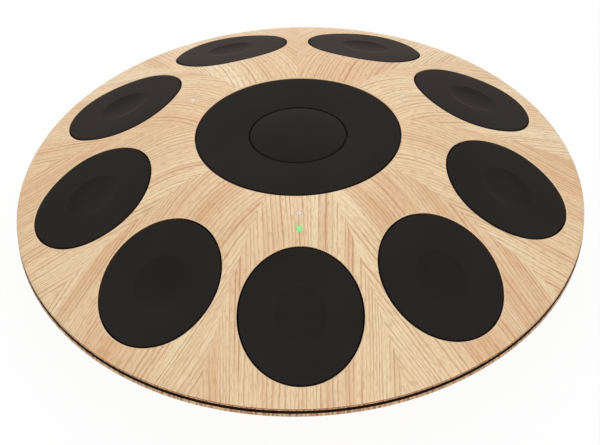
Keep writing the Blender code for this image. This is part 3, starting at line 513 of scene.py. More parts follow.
silicone = black_silicone("black_silicone", paint(39, 37, 35), paint(43, 41, 39))
# The dish's finish is the same silicone painted a shade darker and greyer: painted shade in the hollow.
shaded_dish_silicone = black_silicone("black_silicone_dish_painted_shade", paint(37, 36, 35), paint(41, 39, 38))

# %% [markdown]
# The other finishes are plainer: moulded plastic, rubber, foam, plated steel, boards, films and paper.
# Each still has the unevenness of the real stuff, from noise at that stuff's own scale.
# The foam of the pads' bed is painted near-black brown as painted shade, a thin dark brown line at the
# bottom of the gap round each pad.

# %% Plastics, rubber, foam and steel
def speckled(name, dark, light, scale, roughness, depth=0.00002, gloss=0.5):
    """A finish whose two shades lie in fine specks that also stand up a little."""
    recipe = Recipe(name, roughness, gloss)
    speck = recipe.noise(recipe.place(), scale, 3)
    rough = recipe.math("MULTIPLY_ADD", speck, 0.2, roughness - 0.1)
    return recipe.finish(recipe.shades(speck, dark, light), speck, depth, rough)


def plated_steel():
    recipe = Recipe("plated_steel", 0.32, Metallic=1.0)
    corner = recipe.split(recipe.place())
    lines = recipe.vector(corner["X"], corner["Y"], recipe.math("MULTIPLY", corner["Z"], 14))
    brush = recipe.noise(lines, 380, 3)
    colour = recipe.shades(brush, paint(158, 158, 160), paint(196, 196, 198))
    return recipe.finish(colour, brush, 0.00001, recipe.math("MULTIPLY_ADD", brush, 0.25, 0.2))


black_plastic = speckled("black_plastic", paint(22, 22, 23), paint(34, 34, 35), 1900, 0.5)
# The foam's near-black brown is painted shade for the bottom of the gaps round the pads.
foam_with_painted_gap_shade = speckled("foam_with_painted_gap_shade", paint(20, 11, 5), paint(30, 17, 9), 900, 0.9, 0.00005, gloss=0.1)
black_rubber = speckled("black_rubber", paint(24, 24, 24), paint(36, 35, 35), 1100, 0.8, 0.00004)
white_paint = speckled("white_paint", paint(222, 222, 220), paint(236, 236, 234), 900, 0.5)
cone_paper = speckled("cone_paper", paint(30, 30, 31), paint(52, 51, 50), 650, 0.85, 0.00006)
battery_wrap = speckled("battery_wrap", paint(24, 74, 140), paint(36, 90, 160), 260, 0.32)
steel = plated_steel()

# %% [markdown]
# A circuit board is green lacquer over copper tracks. Bricks with thin joints look much like tracks.
# The force sensors are amber film with silver fingers printed on it, which bands can draw.

# %% Boards and sensor films
def circuit_board():
    recipe = Recipe("circuit_board", 0.38)
    inputs = {"Vector": recipe.place(), "Scale": 60, "Mortar Size": 0.035, "Row Height": 0.18}
    tracks = recipe.add("TexBrick", inputs).outputs["Fac"]
    patch = recipe.noise(recipe.place(), 70, 2)
    lacquer = recipe.shades(patch, paint(14, 78, 42), paint(22, 96, 54))
    return recipe.finish(recipe.mix(tracks, lacquer, paint(60, 140, 84)), tracks, 0.00003)


def sensor_film():
    recipe = Recipe("sensor_film", 0.35)
    inputs = {"Vector": recipe.place(), "Scale": 90, "Distortion": 0.4}
    bands = recipe.add("TexWave", inputs, wave_type="BANDS").outputs["Fac"]
    fingers = recipe.ramp(bands, (0.55, 0.0), (0.62, 1.0))
    patch = recipe.noise(recipe.place(), 55, 2)
    amber = recipe.shades(patch, paint(150, 104, 42), paint(172, 124, 56))
    return recipe.finish(recipe.mix(fingers, amber, paint(176, 176, 172)), fingers, 0.00002)


board_green = circuit_board()
film = sensor_film()

# %% [markdown]
# The lights are frosted plugs. Only the lower front one is lit, in green, and it glows rather than shines.
# Frosting scatters the light, so soft patches of two near shades are enough, and no lamp is needed.

# %% Frosted lights
def lit_light(name, dark, light, glow):
    recipe = Recipe(name, 0.3, **{"Emission Strength": glow})
    colour = recipe.shades(recipe.noise(recipe.place(), 520, 2), dark, light)
    recipe.put(recipe.shader.inputs["Emission Color"], colour)
    return recipe.finish(colour)


unlit = patchy("unlit_light", 0.3, 520, paint(224, 208, 192), paint(236, 221, 205))
lit_green = lit_light("lit_green_light", paint(104, 212, 124), paint(132, 232, 150), 0.35)

# %% [markdown]
# Nearly every piece here is round or oval, so it can be drawn as rings of points with skin between them.
# One function joins rings into a closed mesh. Another rounds the corners of a profile before it is turned.
# This is simpler to steer than sculpting, and every size stays a number with a name.

# %% Rings, ovals and rounded profiles
def circle(radius, sides, z=0.0):
    turns = [2 * math.pi * i / sides for i in range(sides)]
    return [Vector((radius * math.cos(t), radius * math.sin(t), z)) for t in turns]


def oval(half_width, half_depth, sides, z=0.0):
    turns = [2 * math.pi * i / sides - math.pi / 2 for i in range(sides)]
    return [Vector((half_width * math.cos(t), half_depth * math.sin(t), z)) for t in turns]


def on_surface(ring, surface):
    return [Vector((point.x, point.y, surface(point.x, point.y))) for point in ring]


def spaced(start, end, count):
    """Steps from start to end, leaving out the start."""
    return [start + (end - start) * (i + 1) / count for i in range(count)]


def eased(profile, radius, steps=4):
    """A profile with its corners rounded, each by no more than its shorter side allows."""
    points = [Vector(profile[0])]
    for before, corner, after in zip(profile, profile[1:], profile[2:]):
        corner = Vector(corner)
        inward = Vector(before) - corner
        onward = Vector(after) - corner
        length = min(radius, 0.45 * inward.length, 0.45 * onward.length)
        start = corner + inward.normalized() * length
        end = corner + onward.normalized() * length
        for i in range(steps + 1):
            t = i / steps
            points.append(start.lerp(corner, t).lerp(corner.lerp(end, t), t))
    points.append(Vector(profile[-1]))
    return points


# %% [markdown]
# The skin between two rings is one face for each pair of points, and a ring of one point closes an end.
# Each band of faces can carry its own finish, which is how one shell shows veneer, cut wood and end grain.

# %% Skin the rings
def skin(rings, bands=None, closed=False):
    """A closed mesh through rings of points. bands gives each band's finish by number."""
    bm = bmesh.new()
    rows = [[bm.verts.new(point) for point in ring] for ring in rings]
    pairs = list(zip(rows, rows[1:]))
    if closed:
        pairs.append((rows[-1], rows[0]))
    for band, (first, second) in enumerate(pairs):
        count = max(len(first), len(second))
        for i in range(count):
            j = (i + 1) % count
            corners = [first[i % len(first)], first[j % len(first)]]
            corners += [second[j % len(second)], second[i % len(second)]]
            face = bm.faces.new(list(dict.fromkeys(corners)))
            face.material_index = bands[band] if bands else 0
    if not closed:
        for row in (rows[0], rows[-1]):
            if len(row) > 2:
                bm.faces.new(row)
    bmesh.ops.recalc_face_normals(bm, faces=bm.faces)
    return bm


def turned(profile, sides, closed=False, bands=None):
    """A turned mesh from (radius, height) points."""
    rings = [circle(r, sides, z) if r > 0 else [Vector((0, 0, z))] for r, z in profile]
    return skin(rings, bands, closed)


def moved(bm, matrix):
    bmesh.ops.transform(bm, matrix=matrix, verts=bm.verts)
    return bm


# %% [markdown]
# A piece needs an object, smooth shading with crisp corners, a body to ride on and the solid it stands for.
# Doing these together means that none is forgotten.

# %% Turn a mesh into a piece
CRISP_ANGLE = math.radians(35)


def shade(mesh):
    mesh.shade_smooth()
    mesh.set_sharp_from_angle(angle=CRISP_ANGLE)


def add_piece(name, bm, finishes, node, body="root"):
    mesh = bpy.data.meshes.new(name)
    bm.to_mesh(mesh)
    bm.free()
    for finish in finishes:
        mesh.materials.append(finish)
    shade(mesh)
    piece = bpy.data.objects.new(name, mesh)
    bpy.context.scene.collection.objects.link(piece)
    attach(piece, body)
    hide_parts(node)
    print(name, "rides on", body, "with", len(mesh.polygons), "faces")
    return piece


# %% [markdown]
# Holes are cut with a Boolean, as a router cuts them. The cutter's faces bring their own finish along.
# The cut is made for good, so that no hidden cutter is left behind in the file.

# %% Cut holes in a piece
def cut(piece, tools):
    mesh = bpy.data.meshes.new("tool")
    whole = bmesh.new()
    for tool in tools:
        tool.to_mesh(mesh)
        tool.free()
        whole.from_mesh(mesh)
    whole.to_mesh(mesh)
    whole.free()
    for finish in piece.data.materials:
        mesh.materials.append(finish)
    cutter = bpy.data.objects.new("tool", mesh)
    bpy.context.scene.collection.objects.link(cutter)
    modifier = piece.modifiers.new("cut", "BOOLEAN")
    modifier.solver = "EXACT"
    modifier.object = cutter
    bpy.context.view_layer.update()
    shaped = piece.evaluated_get(bpy.context.evaluated_depsgraph_get())
    result = bpy.data.meshes.new_from_object(shaped)
    piece.modifiers.clear()
    piece.data = result
    bpy.data.objects.remove(cutter)
    bpy.data.meshes.remove(mesh)
    shade(result)
    print(piece.name, "has", len(result.polygons), "faces after its cuts")


# %% [markdown]
# A tone pad lies square to the slope, so it has axes of its own: X across, Y uphill and Z out of the dome.
# The opening round it is the same oval, a little larger, with its top edge eased at 45 degrees.

# %% Axes and outline of a tone pad
PAD_HALF_WIDTH = size("tone_pad_1").x / 2
PAD_HALF_LENGTH = (PAD_OUTER - PAD_INNER) / 2 / math.cos(FLANK_TILT)
PAD_SIDES = 112
PAD_GAP = 0.0011
EDGE_EASE = 0.0009
CUTTER_RISE = 0.003
CUTTER_DEPTH = 0.016


def frame_at(angle, radius, z, tilt):
    turn = Matrix.Rotation(angle, 4, "Z")
    return turn @ Matrix.Translation((0, -radius, z)) @ Matrix.Rotation(tilt, 4, "X")


def pad_frame(k):
    return frame_at(k * PAD_STEP, PAD_RING_RADIUS, dome_z(0, -PAD_RING_RADIUS), FLANK_TILT)


def height_over(axes, surface, x, y):
    """How far a surface lies above a point of some axes, along their Z. Each pass comes closer."""
    upright = (axes.to_3x3() @ Vector((0, 0, 1))).z
    height = 0
    for _ in range(6):
        point = axes @ Vector((x, y, height))
        height += (surface(point.x, point.y) - point.z) * upright
    return height


def pad_ring(grow, lift, share=1.0):
    """An oval that follows the dome at a height over it, in the pad's own axes."""
    axes = pad_frame(0)
    ring = oval(share * PAD_HALF_WIDTH + grow, share * PAD_HALF_LENGTH + grow, PAD_SIDES)
    for point in ring:
        point.z = height_over(axes, dome_z, point.x, point.y) + lift
    return ring


def opening_cutter():
    top = pad_ring(PAD_GAP + EDGE_EASE + CUTTER_RISE, CUTTER_RISE)
    edge = pad_ring(PAD_GAP, -EDGE_EASE)
    bottom = oval(PAD_HALF_WIDTH + PAD_GAP, PAD_HALF_LENGTH + PAD_GAP, PAD_SIDES, -CUTTER_DEPTH)
    return skin([top, edge, bottom], [EASED, CUT])


print("pad: %.1f by %.1f mm" % (2000 * PAD_HALF_WIDTH, 2000 * PAD_HALF_LENGTH))

# %% [markdown]
# The four lights sit in round holes on the shoulder of the crown. Two are in line at the front.
# The other two are a third of a turn away on each side.
# Axes laid on the slope at each place let the hole and the plug be drawn upright and then set down.

# %% Places of the lights
LIGHT_RADIUS = 0.0026
FIRST_LIGHT_MARGIN = 0.0117
LIGHT_PITCH = 0.0164
SIDE_LIGHT_MARGIN = 0.0199
THIRD_TURN = 2 * math.pi / 3
SLOPE_STEP = 0.00175


def shoulder_frame(angle, radius):
    fall = dome_z(0, -radius) - dome_z(0, -radius - SLOPE_STEP)
    return frame_at(angle, radius, dome_z(0, -radius), math.atan(fall / SLOPE_STEP))


def light_places():
    """For each light: its name, its axes and its place along their Y."""
    front = shoulder_frame(0, CENTRE_HALF_WIDTH + FIRST_LIGHT_MARGIN + LIGHT_PITCH / 2)
    side = CENTRE_HALF_WIDTH + SIDE_LIGHT_MARGIN
    return [
        ("front_light_white", front, LIGHT_PITCH / 2),
        ("front_light_green", front, -LIGHT_PITCH / 2),
        ("left_light", shoulder_frame(-THIRD_TURN, side), 0),
        ("right_light", shoulder_frame(THIRD_TURN, side), 0),
    ]


def drill(radius, low, high, finish=CUT, sides=40):
    """A round cutter."""
    return turned([(0, low), (radius, low), (radius, high), (0, high)], sides, bands=[finish] * 3)


# %% [markdown]
# The upper shell is pressed veneer, 4 mm thick. It is drawn as one closed section taken round the axis.
# The section goes up the centre opening, over the dome, down the edge band and back along the ceiling.
# The centre opening is oval and the rim is round, so the first rings pass from one to the other.

# %% Upper shell
AROUND = 216
LAYER = 0.0005
GLUE_BAND = 0.0009
LAND_WIDTH = 0.004
SCREW_RADIUS = 0.0018
SCREW_COUNT = 6
SCREW_INSET = 0.0108


def screw_place(i):
    return frame_at(2 * math.pi * (i + 0.5) / SCREW_COUNT, RIM_RADIUS - SCREW_INSET, 0, 0)


def round_ring(radius):
    """A circle, made narrower by the hair's breadth that the faceted rim is."""
    return oval(ROUNDNESS * radius, radius, AROUND)


def ring_at(radius, surface):
    return on_surface(round_ring(radius), surface)


def level(z):
    return lambda x, y: z


def ceiling_z(x, y):
    return dome_z(x, y) - WALL_DROP


def opening_ring(grow, surface):
    return on_surface(oval(CENTRE_HALF_WIDTH + grow, CENTRE_HALF_DEPTH + grow, AROUND), surface)


def to_round(start, radius, share):
    """A ring between an oval and a circle."""
    return [a.lerp(b, share) for a, b in zip(start, round_ring(radius))]


def upper_rings():
    """The rings of the upper shell, each with the finish of the band that starts there."""
    land = CENTRE_HALF_WIDTH + PAD_GAP + LAND_WIDTH
    lip = opening_ring(PAD_GAP + EDGE_EASE, level(CROWN_Z))
    glue_top = UPPER_CORNER_Z - LAYER
    rows = [(opening_ring(PAD_GAP, level(CROWN_Z - EDGE_EASE)), EASED), (lip, FACE)]
    rows += [(on_surface(to_round(lip, land, share), dome_z), FACE) for share in (0.3, 0.65, 1)]
    rows += [(ring_at(radius, dome_z), FACE) for radius in spaced(land, RIM_RADIUS - LAYER, 40)]
    rows += [
        (ring_at(RIM_RADIUS, level(glue_top)), GLUE),
        (ring_at(RIM_RADIUS, level(glue_top - GLUE_BAND)), EDGE),
        # The faces into the seam take the near-black finish, which is painted shade in the gap.
        (ring_at(RIM_RADIUS, level(UPPER_BASE_Z + LAYER / 2)), SEAM),
        (ring_at(RIM_RADIUS - LAYER / 2, level(UPPER_BASE_Z)), SEAM),
        (ring_at(LANDING_RADIUS, level(UPPER_BASE_Z)), CUT),
    ]
    under = [LANDING_RADIUS] + spaced(LANDING_RADIUS, land, 16)
    rows += [(ring_at(radius, ceiling_z), CUT) for radius in under]
    rows += [(opening_ring(PAD_GAP, ceiling_z), CUT)]
    return rows


def make_shell(name, rows, veneer, node):
    rings, bands = zip(*rows)
    shell = skin(rings, bands, closed=True)
    return add_piece(name, shell, [veneer] + edge_finishes, node)


def make_upper_shell():
    piece = make_shell("dome", upper_rings(), dome_ash, "upper_shell")
    tools = [moved(opening_cutter(), pad_frame(k)) for k in range(PAD_COUNT)]
    for _, axes, y in light_places():
        hole = drill(LIGHT_RADIUS + GAP, -CUTTER_DEPTH, CUTTER_DEPTH, EASED)
        tools.append(moved(hole, axes @ Matrix.Translation((0, y, 0))))
    for i in range(SCREW_COUNT):
        hole = drill(SCREW_RADIUS + GAP, LOWER_TOP_Z, UPPER_BASE_Z + SHELL_WALL)
        tools.append(moved(hole, screw_place(i)))
    cut(piece, tools)


make_upper_shell()

# %% [markdown]
# Each tone pad is one moulding, flush with the wood, with a shallow dish in its middle for the fingers.
# It is drawn a hair smaller than its solid, so that the dark line round it is as plain as in the picture.
# A power curve gives the dish a flat bottom and the crisp lip that a soft wave would lose.
# A few extra rings round that lip slightly.

# %% Tone pads
PAD_THICKNESS = 0.005
PAD_INSET = 0.0005
PAD_ROUND = 0.0003
DISH_DEPTH = 0.0024
DISH_REACH = 0.42
DISH_POWER = 2.8
LIP_SOFTNESS = 0.012
LIP_START = 0.9 * DISH_REACH
LIP_END = 1.08 * DISH_REACH
LAST_FLAT_RING = 0.95


def dish(share):
    """Depth of the dish at a share of the pad's size, with a softened lip."""
    inside = max(0, 1 - (share / DISH_REACH) ** DISH_POWER)
    soft = math.sqrt(inside**2 + LIP_SOFTNESS**2) - LIP_SOFTNESS
    return DISH_DEPTH * soft


def rounded_edge(radius, steps=5):
    """How far in and how far down each step of a rounded edge lies."""
    turns = [math.pi / 2 * i / steps for i in range(steps + 1)]
    return [(-radius * (1 - math.sin(t)), -radius * (1 - math.cos(t))) for t in turns]


def pad_rings():
    """The rings of a tone pad from its middle, and how many of them lie in the dish."""
    in_dish = spaced(0, LIP_START, 9) + spaced(LIP_START, DISH_REACH, 5)
    shares = in_dish + spaced(DISH_REACH, LIP_END, 3) + spaced(LIP_END, LAST_FLAT_RING, 7)
    rings = [[Vector((0, 0, -dish(0)))]]
    rings += [pad_ring(0, -dish(share), share) for share in shares]
    rings += [pad_ring(grow - PAD_INSET, lift) for grow, lift in rounded_edge(PAD_ROUND)]
    rings.append(oval(PAD_HALF_WIDTH - PAD_INSET, PAD_HALF_LENGTH - PAD_INSET, PAD_SIDES, -PAD_THICKNESS))
    return rings, len(in_dish)


def make_tone_pads():
    rings, dish_bands = pad_rings()
    # The dish's bands take the darker finish, which is painted shade in the hollow.
    bands = [1] * dish_bands + [0] * (len(rings) - 1 - dish_bands)
    finishes = [silicone, shaded_dish_silicone]
    for k in range(PAD_COUNT):
        node = "tone_pad_%d" % (k + 1)
        pad = moved(skin(rings, bands), pad_frame(k))
        add_piece("dished_pad_%d" % (k + 1), pad, finishes, node, node)


make_tone_pads()

# %% [markdown]
# The centre is two pads: a flat oval ring, and inside it a low dome with a rounded shoulder.
# A groove of even width parts them. A power curve makes the dome flat on top and steeper towards its edge.

# %% Centre pads
CENTRE_SIDES = 160
CENTRE_ROUND = 0.0004
GROOVE = 0.0015
INNER_HALF_WIDTH = size("centre_dome_pad").x / 2
INNER_HALF_DEPTH = size("centre_dome_pad").y / 2
DOME_RISE = bottom_and_top("centre_dome_pad")[1] - CROWN_Z
DOME_POWER = 2.6
DOME_SHARES = spaced(0, 0.97, 20) + [0.985]
SHOULDER_SHARE = 0.996


def inner_oval(grow, z, share=1.0):
    return oval(share * INNER_HALF_WIDTH + grow, share * INNER_HALF_DEPTH + grow, CENTRE_SIDES, z)


def outer_oval(grow, z):
    grow -= PAD_INSET
    return oval(CENTRE_HALF_WIDTH + grow, CENTRE_HALF_DEPTH + grow, CENTRE_SIDES, z)


def make_ring_pad():
    node = "centre_ring_pad"
    outer = [outer_oval(grow, CROWN_Z + lift) for grow, lift in rounded_edge(CENTRE_ROUND)]
    inner = [inner_oval(GROOVE - grow, CROWN_Z + lift) for grow, lift in rounded_edge(CENTRE_ROUND)]
    rings = list(reversed(inner)) + outer
    rings += [outer_oval(0, UNDER_PADS), inner_oval(GROOVE, UNDER_PADS)]
    add_piece("ring_pad", skin(rings, closed=True), [silicone], node, node)


def make_dome_pad():
    node = "centre_dome_pad"
    rings = [[Vector((0, 0, CROWN_Z + DOME_RISE))]]
    for share in DOME_SHARES:
        rings.append(inner_oval(0, CROWN_Z + DOME_RISE * (1 - share**DOME_POWER), share))
    rings += [inner_oval(0, CROWN_Z - CENTRE_ROUND / 4, SHOULDER_SHARE)]
    rings += [inner_oval(0, z) for z in (CROWN_Z - CENTRE_ROUND, UNDER_PADS)]
    rings += [[Vector((0, 0, UNDER_PADS))]]
    add_piece("domed_pad", skin(rings), [silicone], node, node)


make_ring_pad()
make_dome_pad()

# %% [markdown]
# A light's plug ends flush with the veneer, in a face that swells by a tenth of a millimetre.
# Below the veneer it widens to a flange that stops it from falling out.

# %% Light plugs
LIGHT_FLANGE_RADIUS = 0.0045
LIGHT_FLANGE_HEIGHT = 0.0015
LIGHT_SWELL = 0.0001


def make_lights():
    for name, axes, y in light_places():
        out = axes.to_3x3() @ Vector((0, 0, 1))
        foot, top = reach(name, axes @ Vector((0, y, 0)), out)
        seat = foot + LIGHT_FLANGE_HEIGHT
        profile = [(0, top + LIGHT_SWELL), (LIGHT_RADIUS / 2, top + 0.8 * LIGHT_SWELL)]
        profile += [(LIGHT_RADIUS, top - LIGHT_SWELL), (LIGHT_RADIUS, seat)]
        profile += [(LIGHT_FLANGE_RADIUS, seat), (LIGHT_FLANGE_RADIUS, foot), (0, foot)]
        plug = moved(turned(eased(profile, 0.0003), 48), axes @ Matrix.Translation((0, y, 0)))
        green = name == "front_light_green"
        finish = lit_green if green else unlit
        add_piece(name + "_plug", plug, [finish], name)


make_lights()

# %% [markdown]
# The lower shell is the same pressed wood, turned the other way up. Its base is flat and carries the sound.
# It has a hole for the bass port, two for the speakers, a window for the controls and six screw holes.

# %% Lower shell
BOWL_DROP = SHELL_WALL / math.cos(BOWL_TILT)
PORT_FLANGE = 0.006
PORT_HOLE = size("port_tube").x / 2 - PORT_FLANGE + GAP
SPEAKER_MOUTH_RADIUS = 0.034
SPEAKER_OFFSET = middle("speaker_grille_right").x
SCREW_HEAD_RADIUS = 0.0038
SCREW_GRIP = 0.0026


def floor_z(x, y):
    return bowl_z(x, y) + BOWL_DROP


def lower_rings():
    """The rings of the lower shell, from the port's hole out to the rim and back along the inside."""
    below = [PORT_HOLE] + spaced(PORT_HOLE, BASE_RADIUS, 6)
    below += spaced(BASE_RADIUS, RIM_RADIUS - LAYER / 2, 26)
    rows = [(ring_at(radius, bowl_z), FACE) for radius in below]
    rows += [
        (ring_at(RIM_RADIUS, level(LOWER_TOP_Z - LOWER_EDGE_BAND + LAYER / 2)), EDGE),
        # The faces into the seam take the near-black finish, which is painted shade in the gap.
        (ring_at(RIM_RADIUS, level(LOWER_TOP_Z - LAYER / 2)), SEAM),
        (ring_at(RIM_RADIUS - LAYER / 2, level(LOWER_TOP_Z)), SEAM),
        (ring_at(LANDING_RADIUS, level(LOWER_TOP_Z)), CUT),
    ]
    inside = [LANDING_RADIUS] + spaced(LANDING_RADIUS, BASE_RADIUS, 12) + [PORT_HOLE]
    rows += [(ring_at(radius, floor_z), CUT) for radius in inside]
    return rows


# %% [markdown]
# The controls share one slanting panel on the right. The knob's joint gives its axis and a point on it.
# From these come the panel's axes: X along the rim, Y up the slope and Z out of the shell.

# %% Axes of the control panel
knob_point = Vector(joints["volume_knob_turn"]["pos_m"])
PANEL_OUT = Vector(joints["volume_knob_turn"]["axis"]).normalized()
PANEL_ALONG = Vector((0, 1, 0))
PANEL_LENGTH = 0.090
PANEL_WIDTH = 0.030
PANEL_CORNER = 0.006


def panel_axes(y):
    """The panel's axes, with their origin on its line of controls at a place along the rim."""
    axes = Matrix((PANEL_ALONG, PANEL_OUT.cross(PANEL_ALONG), PANEL_OUT)).transposed().to_4x4()
    axes.translation = Vector((knob_point.x, y, knob_point.z))
    return axes


def rounded_rectangle(length, width, corner, z, steps=8):
    points = []
    for quarter, (sx, sy) in enumerate(((1, 1), (-1, 1), (-1, -1), (1, -1))):
        centre = Vector((sx * (length / 2 - corner), sy * (width / 2 - corner), z))
        for i in range(steps + 1):
            t = math.pi / 2 * (quarter + i / steps)
            points.append(centre + corner * Vector((math.cos(t), math.sin(t), 0)))
    return points


def window_cutter():
    size_and_corner = (PANEL_LENGTH + 2 * GAP, PANEL_WIDTH + 2 * GAP, PANEL_CORNER + GAP)
    ends = [rounded_rectangle(*size_and_corner, z) for z in (-CUTTER_DEPTH, CUTTER_DEPTH)]
    return moved(skin(ends, [CUT]), panel_axes(middle("control_panel").y))


# %% [markdown]
# A counterbore is two round cuts of different depth, so one turned cutter with a step makes both.

# %% Cut the lower shell
def screw_cutter(i):
    ledge = LOWER_TOP_Z - SCREW_GRIP
    bore, head = SCREW_RADIUS + GAP, SCREW_HEAD_RADIUS + GAP
    profile = [(0, UPPER_BASE_Z), (bore, UPPER_BASE_Z), (bore, ledge), (head, ledge)]
    profile += [(head, BASE_Z), (0, BASE_Z)]
    return moved(turned(profile, 40, bands=[CUT] * 5), screw_place(i))


def make_lower_shell():
    piece = make_shell("bowl", lower_rings(), bowl_ash, "lower_shell")
    tools = [window_cutter()] + [screw_cutter(i) for i in range(SCREW_COUNT)]
    for side in (-1, 1):
        mouth = drill(SPEAKER_MOUTH_RADIUS, BASE_Z - SHELL_WALL, BASE_Z + 2 * SHELL_WALL, sides=96)
        tools.append(moved(mouth, Matrix.Translation((side * SPEAKER_OFFSET, 0, 0))))
    cut(piece, tools)


make_lower_shell()

# %% [markdown]
# Each speaker fires down through a flat grille with rows of long slots. Its paper cone shows dimly behind.
# The slots have round ends and are cut like the pad openings. The cone is turned, with a domed cap.

# %% Speaker grilles and cones
GRILLE_SLOT = 0.003
SLOT_CORNER = 0.00147
GRILLE_PITCH = 0.0085
GRILLE_BORDER = 0.005
COIL_RADIUS = 0.0107
CONE_SHEET = 0.001
CAP_PROFILE = ((1, 0.002), (0.6, 0.0046), (0, 0.006))


def slot_cutter(x, y, length, low, high):
    ends = [rounded_rectangle(length, GRILLE_SLOT, SLOT_CORNER, z) for z in (low, high)]
    return moved(skin(ends), Matrix.Translation((x, y, 0)))


def make_grille(x, word):
    node = "speaker_grille_" + word
    low, high = bottom_and_top(node)
    radius = size(node).x / 2
    profile = [(0, high), (radius, high), (radius, low), (0, low)]
    plate = moved(turned(eased(profile, 0.0005), 128), Matrix.Translation((x, 0, 0)))
    grille = add_piece("grille_" + word, plate, [black_plastic], node)
    open_radius = radius - GRILLE_BORDER
    rows = int((open_radius - GRILLE_SLOT) / GRILLE_PITCH)
    slots = []
    for row in range(-rows, rows + 1):
        y = row * GRILLE_PITCH
        length = 2 * math.sqrt(open_radius**2 - y**2)
        slots.append(slot_cutter(x, y, length, low - GAP, high + GAP))
    cut(grille, slots)


def make_cone(x, word):
    node = "speaker_cone_" + word
    low, high = bottom_and_top(node)
    rim = size(node).x / 2
    outside = [(0, high), (COIL_RADIUS, high), (rim, low + CONE_SHEET), (rim, low)]
    cap = [(share * COIL_RADIUS, high - depth) for share, depth in CAP_PROFILE]
    cone = moved(turned(eased(outside + cap, 0.0012), 96), Matrix.Translation((x, 0, 0)))
    add_piece("cone_" + word, cone, [cone_paper], node)


for x, word in ((-SPEAKER_OFFSET, "left"), (SPEAKER_OFFSET, "right")):
    make_grille(x, word)
    make_cone(x, word)

# %% [markdown]
# The bass port is a tube with a flange on the base. Its mouth is flared so that the air doesn't chuff.
# A closed profile turned round the axis gives the tube, its flange and its flare in one piece.

# %% Bass port
PORT_WALL = 0.0025
PORT_FLARE = 0.0025
PORT_LIP = 0.001


def make_port():
    low, high = bottom_and_top("port_tube")
    flange = size("port_tube").x / 2
    outer = flange - PORT_FLANGE
    bore = outer - PORT_WALL
    seat = BASE_Z - GAP
    profile = [(bore, high), (outer, high), (outer, seat), (flange, seat)]
    profile += [(flange, low + PORT_LIP), (outer, low), (bore, low + PORT_FLARE)]
    smooth = eased(profile + profile[:1], 0.0008)[:-1]
    add_piece("port", turned(smooth, 128, closed=True), [black_plastic], "port_tube")


make_port()

# %% [markdown]
# Four rubber feet keep the base and the grilles off the table. Each is a short cone with a rounded foot.
# A cylinder with a bevel would do, but a turned profile gives the taper and the round edge at once.
# The feet lie on the floor at height zero, so their undersides stay flat.

# %% Feet
FOOT_COUNT = 4
FOOT_RADIUS = 0.014
FOOT_TAPER = 0.0025


def make_feet():
    for i in range(FOOT_COUNT):
        node = "foot_%d" % (i + 1)
        top = bottom_and_top(node)[1]
        profile = [(0, top), (FOOT_RADIUS, top), (FOOT_RADIUS, FOOT_TAPER)]
        profile += [(FOOT_RADIUS - FOOT_TAPER, 0), (0, 0)]
        place = Matrix.Translation((middle(node).x, middle(node).y, 0))
        foot = moved(turned(eased(profile, 0.0009), 72), place)
        add_piece("rubber_foot_%d" % (i + 1), foot, [black_rubber], node)


make_feet()

# %% [markdown]
# Six screws hold the shells together from below. Each has a round head with a hexagonal socket.
# The thread is hidden in the wood, so the shank is plain. The socket is cut with a six-sided tool.

# %% Screws
HEX_RADIUS = 0.0013
HEX_DEPTH = 0.0014
SCREW_HEAD_HEIGHT = 0.0024


def make_screws():
    for i in range(SCREW_COUNT):
        node = "shell_screw_%d" % (i + 1)
        low, high = bottom_and_top(node)
        head = low + SCREW_HEAD_HEIGHT
        profile = [(0, high), (SCREW_RADIUS / 2, high), (SCREW_RADIUS, high - SCREW_RADIUS / 2)]
        profile += [(SCREW_RADIUS, head), (SCREW_HEAD_RADIUS, head), (SCREW_HEAD_RADIUS, low), (0, low)]
        screw = moved(turned(eased(profile, 0.0003, 3), 48), screw_place(i))
        piece = add_piece("screw_%d" % (i + 1), screw, [steel], node)
        socket = skin([circle(HEX_RADIUS, 6, z) for z in (low - HEX_DEPTH, low + HEX_DEPTH)])
        cut(piece, [moved(socket, screw_place(i))])


make_screws()

# %% [markdown]
# The volume knob has one painted mark and fine flutes for grip, which are a wave on the radius of its side.
# The mark is cut a little into the knob by a tool that carries white paint, so it needs no object.
# The power button is a dished rubber cap with a collar that keeps it behind the panel.

# %% Knob and button
KNOB_HEIGHT = 0.008
SHAFT_RADIUS = 0.003
FLUTE_COUNT = 30
FLUTE_DEPTH = 0.00028
MARK_WIDTH = 0.0008
MARK_LENGTH = 0.0036
MARK_DEPTH = 0.0003
MARK_PLACE = 0.0026
BUTTON_RADIUS = 0.0055
BUTTON_DISH = 0.0004
COLLAR_RADIUS = 0.007
COLLAR_HEIGHT = 0.0012


def fluted(radius, z, share):
    """A ring of the knob's side, whose flutes are as deep as share says."""
    ring = []
    for point in circle(1, 8 * FLUTE_COUNT, z):
        angle = math.atan2(point.y, point.x)
        r = radius - share * FLUTE_DEPTH * (0.5 - 0.5 * math.cos(FLUTE_COUNT * angle))
        ring.append(Vector((r * point.x, r * point.y, z)))
    return ring


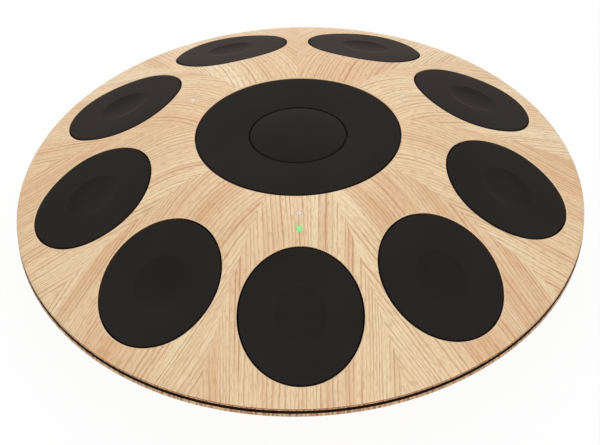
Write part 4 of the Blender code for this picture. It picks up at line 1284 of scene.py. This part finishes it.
def make_knob():
    node = "volume_knob"
    axes = panel_axes(knob_point.y)
    shaft_end, top = reach(node, knob_point, PANEL_OUT)
    base = top - KNOB_HEIGHT
    radius = size(node).y / 2
    side = [
        (0.0045, top, 0),
        (0.0059, top - 0.0002, 0),
        (0.0065, top - 0.001, 1),
        (radius, base + 0.0005, 1),
        (radius - 0.0004, base, 1),
        (SHAFT_RADIUS, base, 0),
        (SHAFT_RADIUS, shaft_end, 0),
    ]
    rings = [[Vector((0, 0, top))]] + [fluted(*row) for row in side] + [[Vector((0, 0, shaft_end))]]
    finishes = [black_plastic, white_paint]
    knob = add_piece("knob", moved(skin(rings), axes), finishes, node, node)
    ends = (top - MARK_DEPTH, top + 2 * MARK_DEPTH)
    mark = skin([rounded_rectangle(MARK_WIDTH, MARK_LENGTH, MARK_WIDTH / 3, z) for z in ends])
    for face in mark.faces:
        face.material_index = 1
    cut(knob, [moved(mark, axes @ Matrix.Translation((0, MARK_PLACE, 0)))])


def make_button():
    node = "power_button"
    axes = panel_axes(middle(node).y)
    low, top = reach(node, axes.translation, PANEL_OUT)
    shoulder = low + COLLAR_HEIGHT
    profile = [(0, top - BUTTON_DISH), (0.6 * BUTTON_RADIUS, top - BUTTON_DISH / 2)]
    profile += [(0.82 * BUTTON_RADIUS, top), (BUTTON_RADIUS, top), (BUTTON_RADIUS, shoulder)]
    profile += [(COLLAR_RADIUS, shoulder), (COLLAR_RADIUS, low), (0, low)]
    cap = moved(turned(eased(profile, 0.0005), 72), axes)
    add_piece("button", cap, [black_rubber], node, node)


make_knob()
make_button()

# %% [markdown]
# What stays hidden, or is already the right shape, keeps its solid and only gets a finish.
# The list goes by finish, so that each kind of stuff is dressed once.

# %% Dress the remaining solids
boards = ["front_light", "left_light", "right_light", "main", "control"]
sensors = ["pad_sensor_%d" % (k + 1) for k in range(PAD_COUNT)] + ["ring_sensor", "dome_sensor"]
plain_nodes = [
    (seam_black, ["rim_spacer"]),
    (black_plastic, ["centre_tray", "control_panel", "headphone_socket"]),
    # The bed's near-black brown is painted shade in the gaps round the pads.
    (foam_with_painted_gap_shade, ["pad_bed"]),
    (film, sensors),
    (board_green, [board + "_board" for board in boards]),
    (steel, ["speaker_basket_left", "speaker_basket_right", "volume_encoder", "charging_socket"]),
    (battery_wrap, ["battery_pack"]),
]
for finish, names in plain_nodes:
    for name in names:
        for material_slot in frame["nodes"][name].material_slots:
            material_slot.material = finish
print("solids that keep their shape:", sum(len(names) for _, names in plain_nodes))
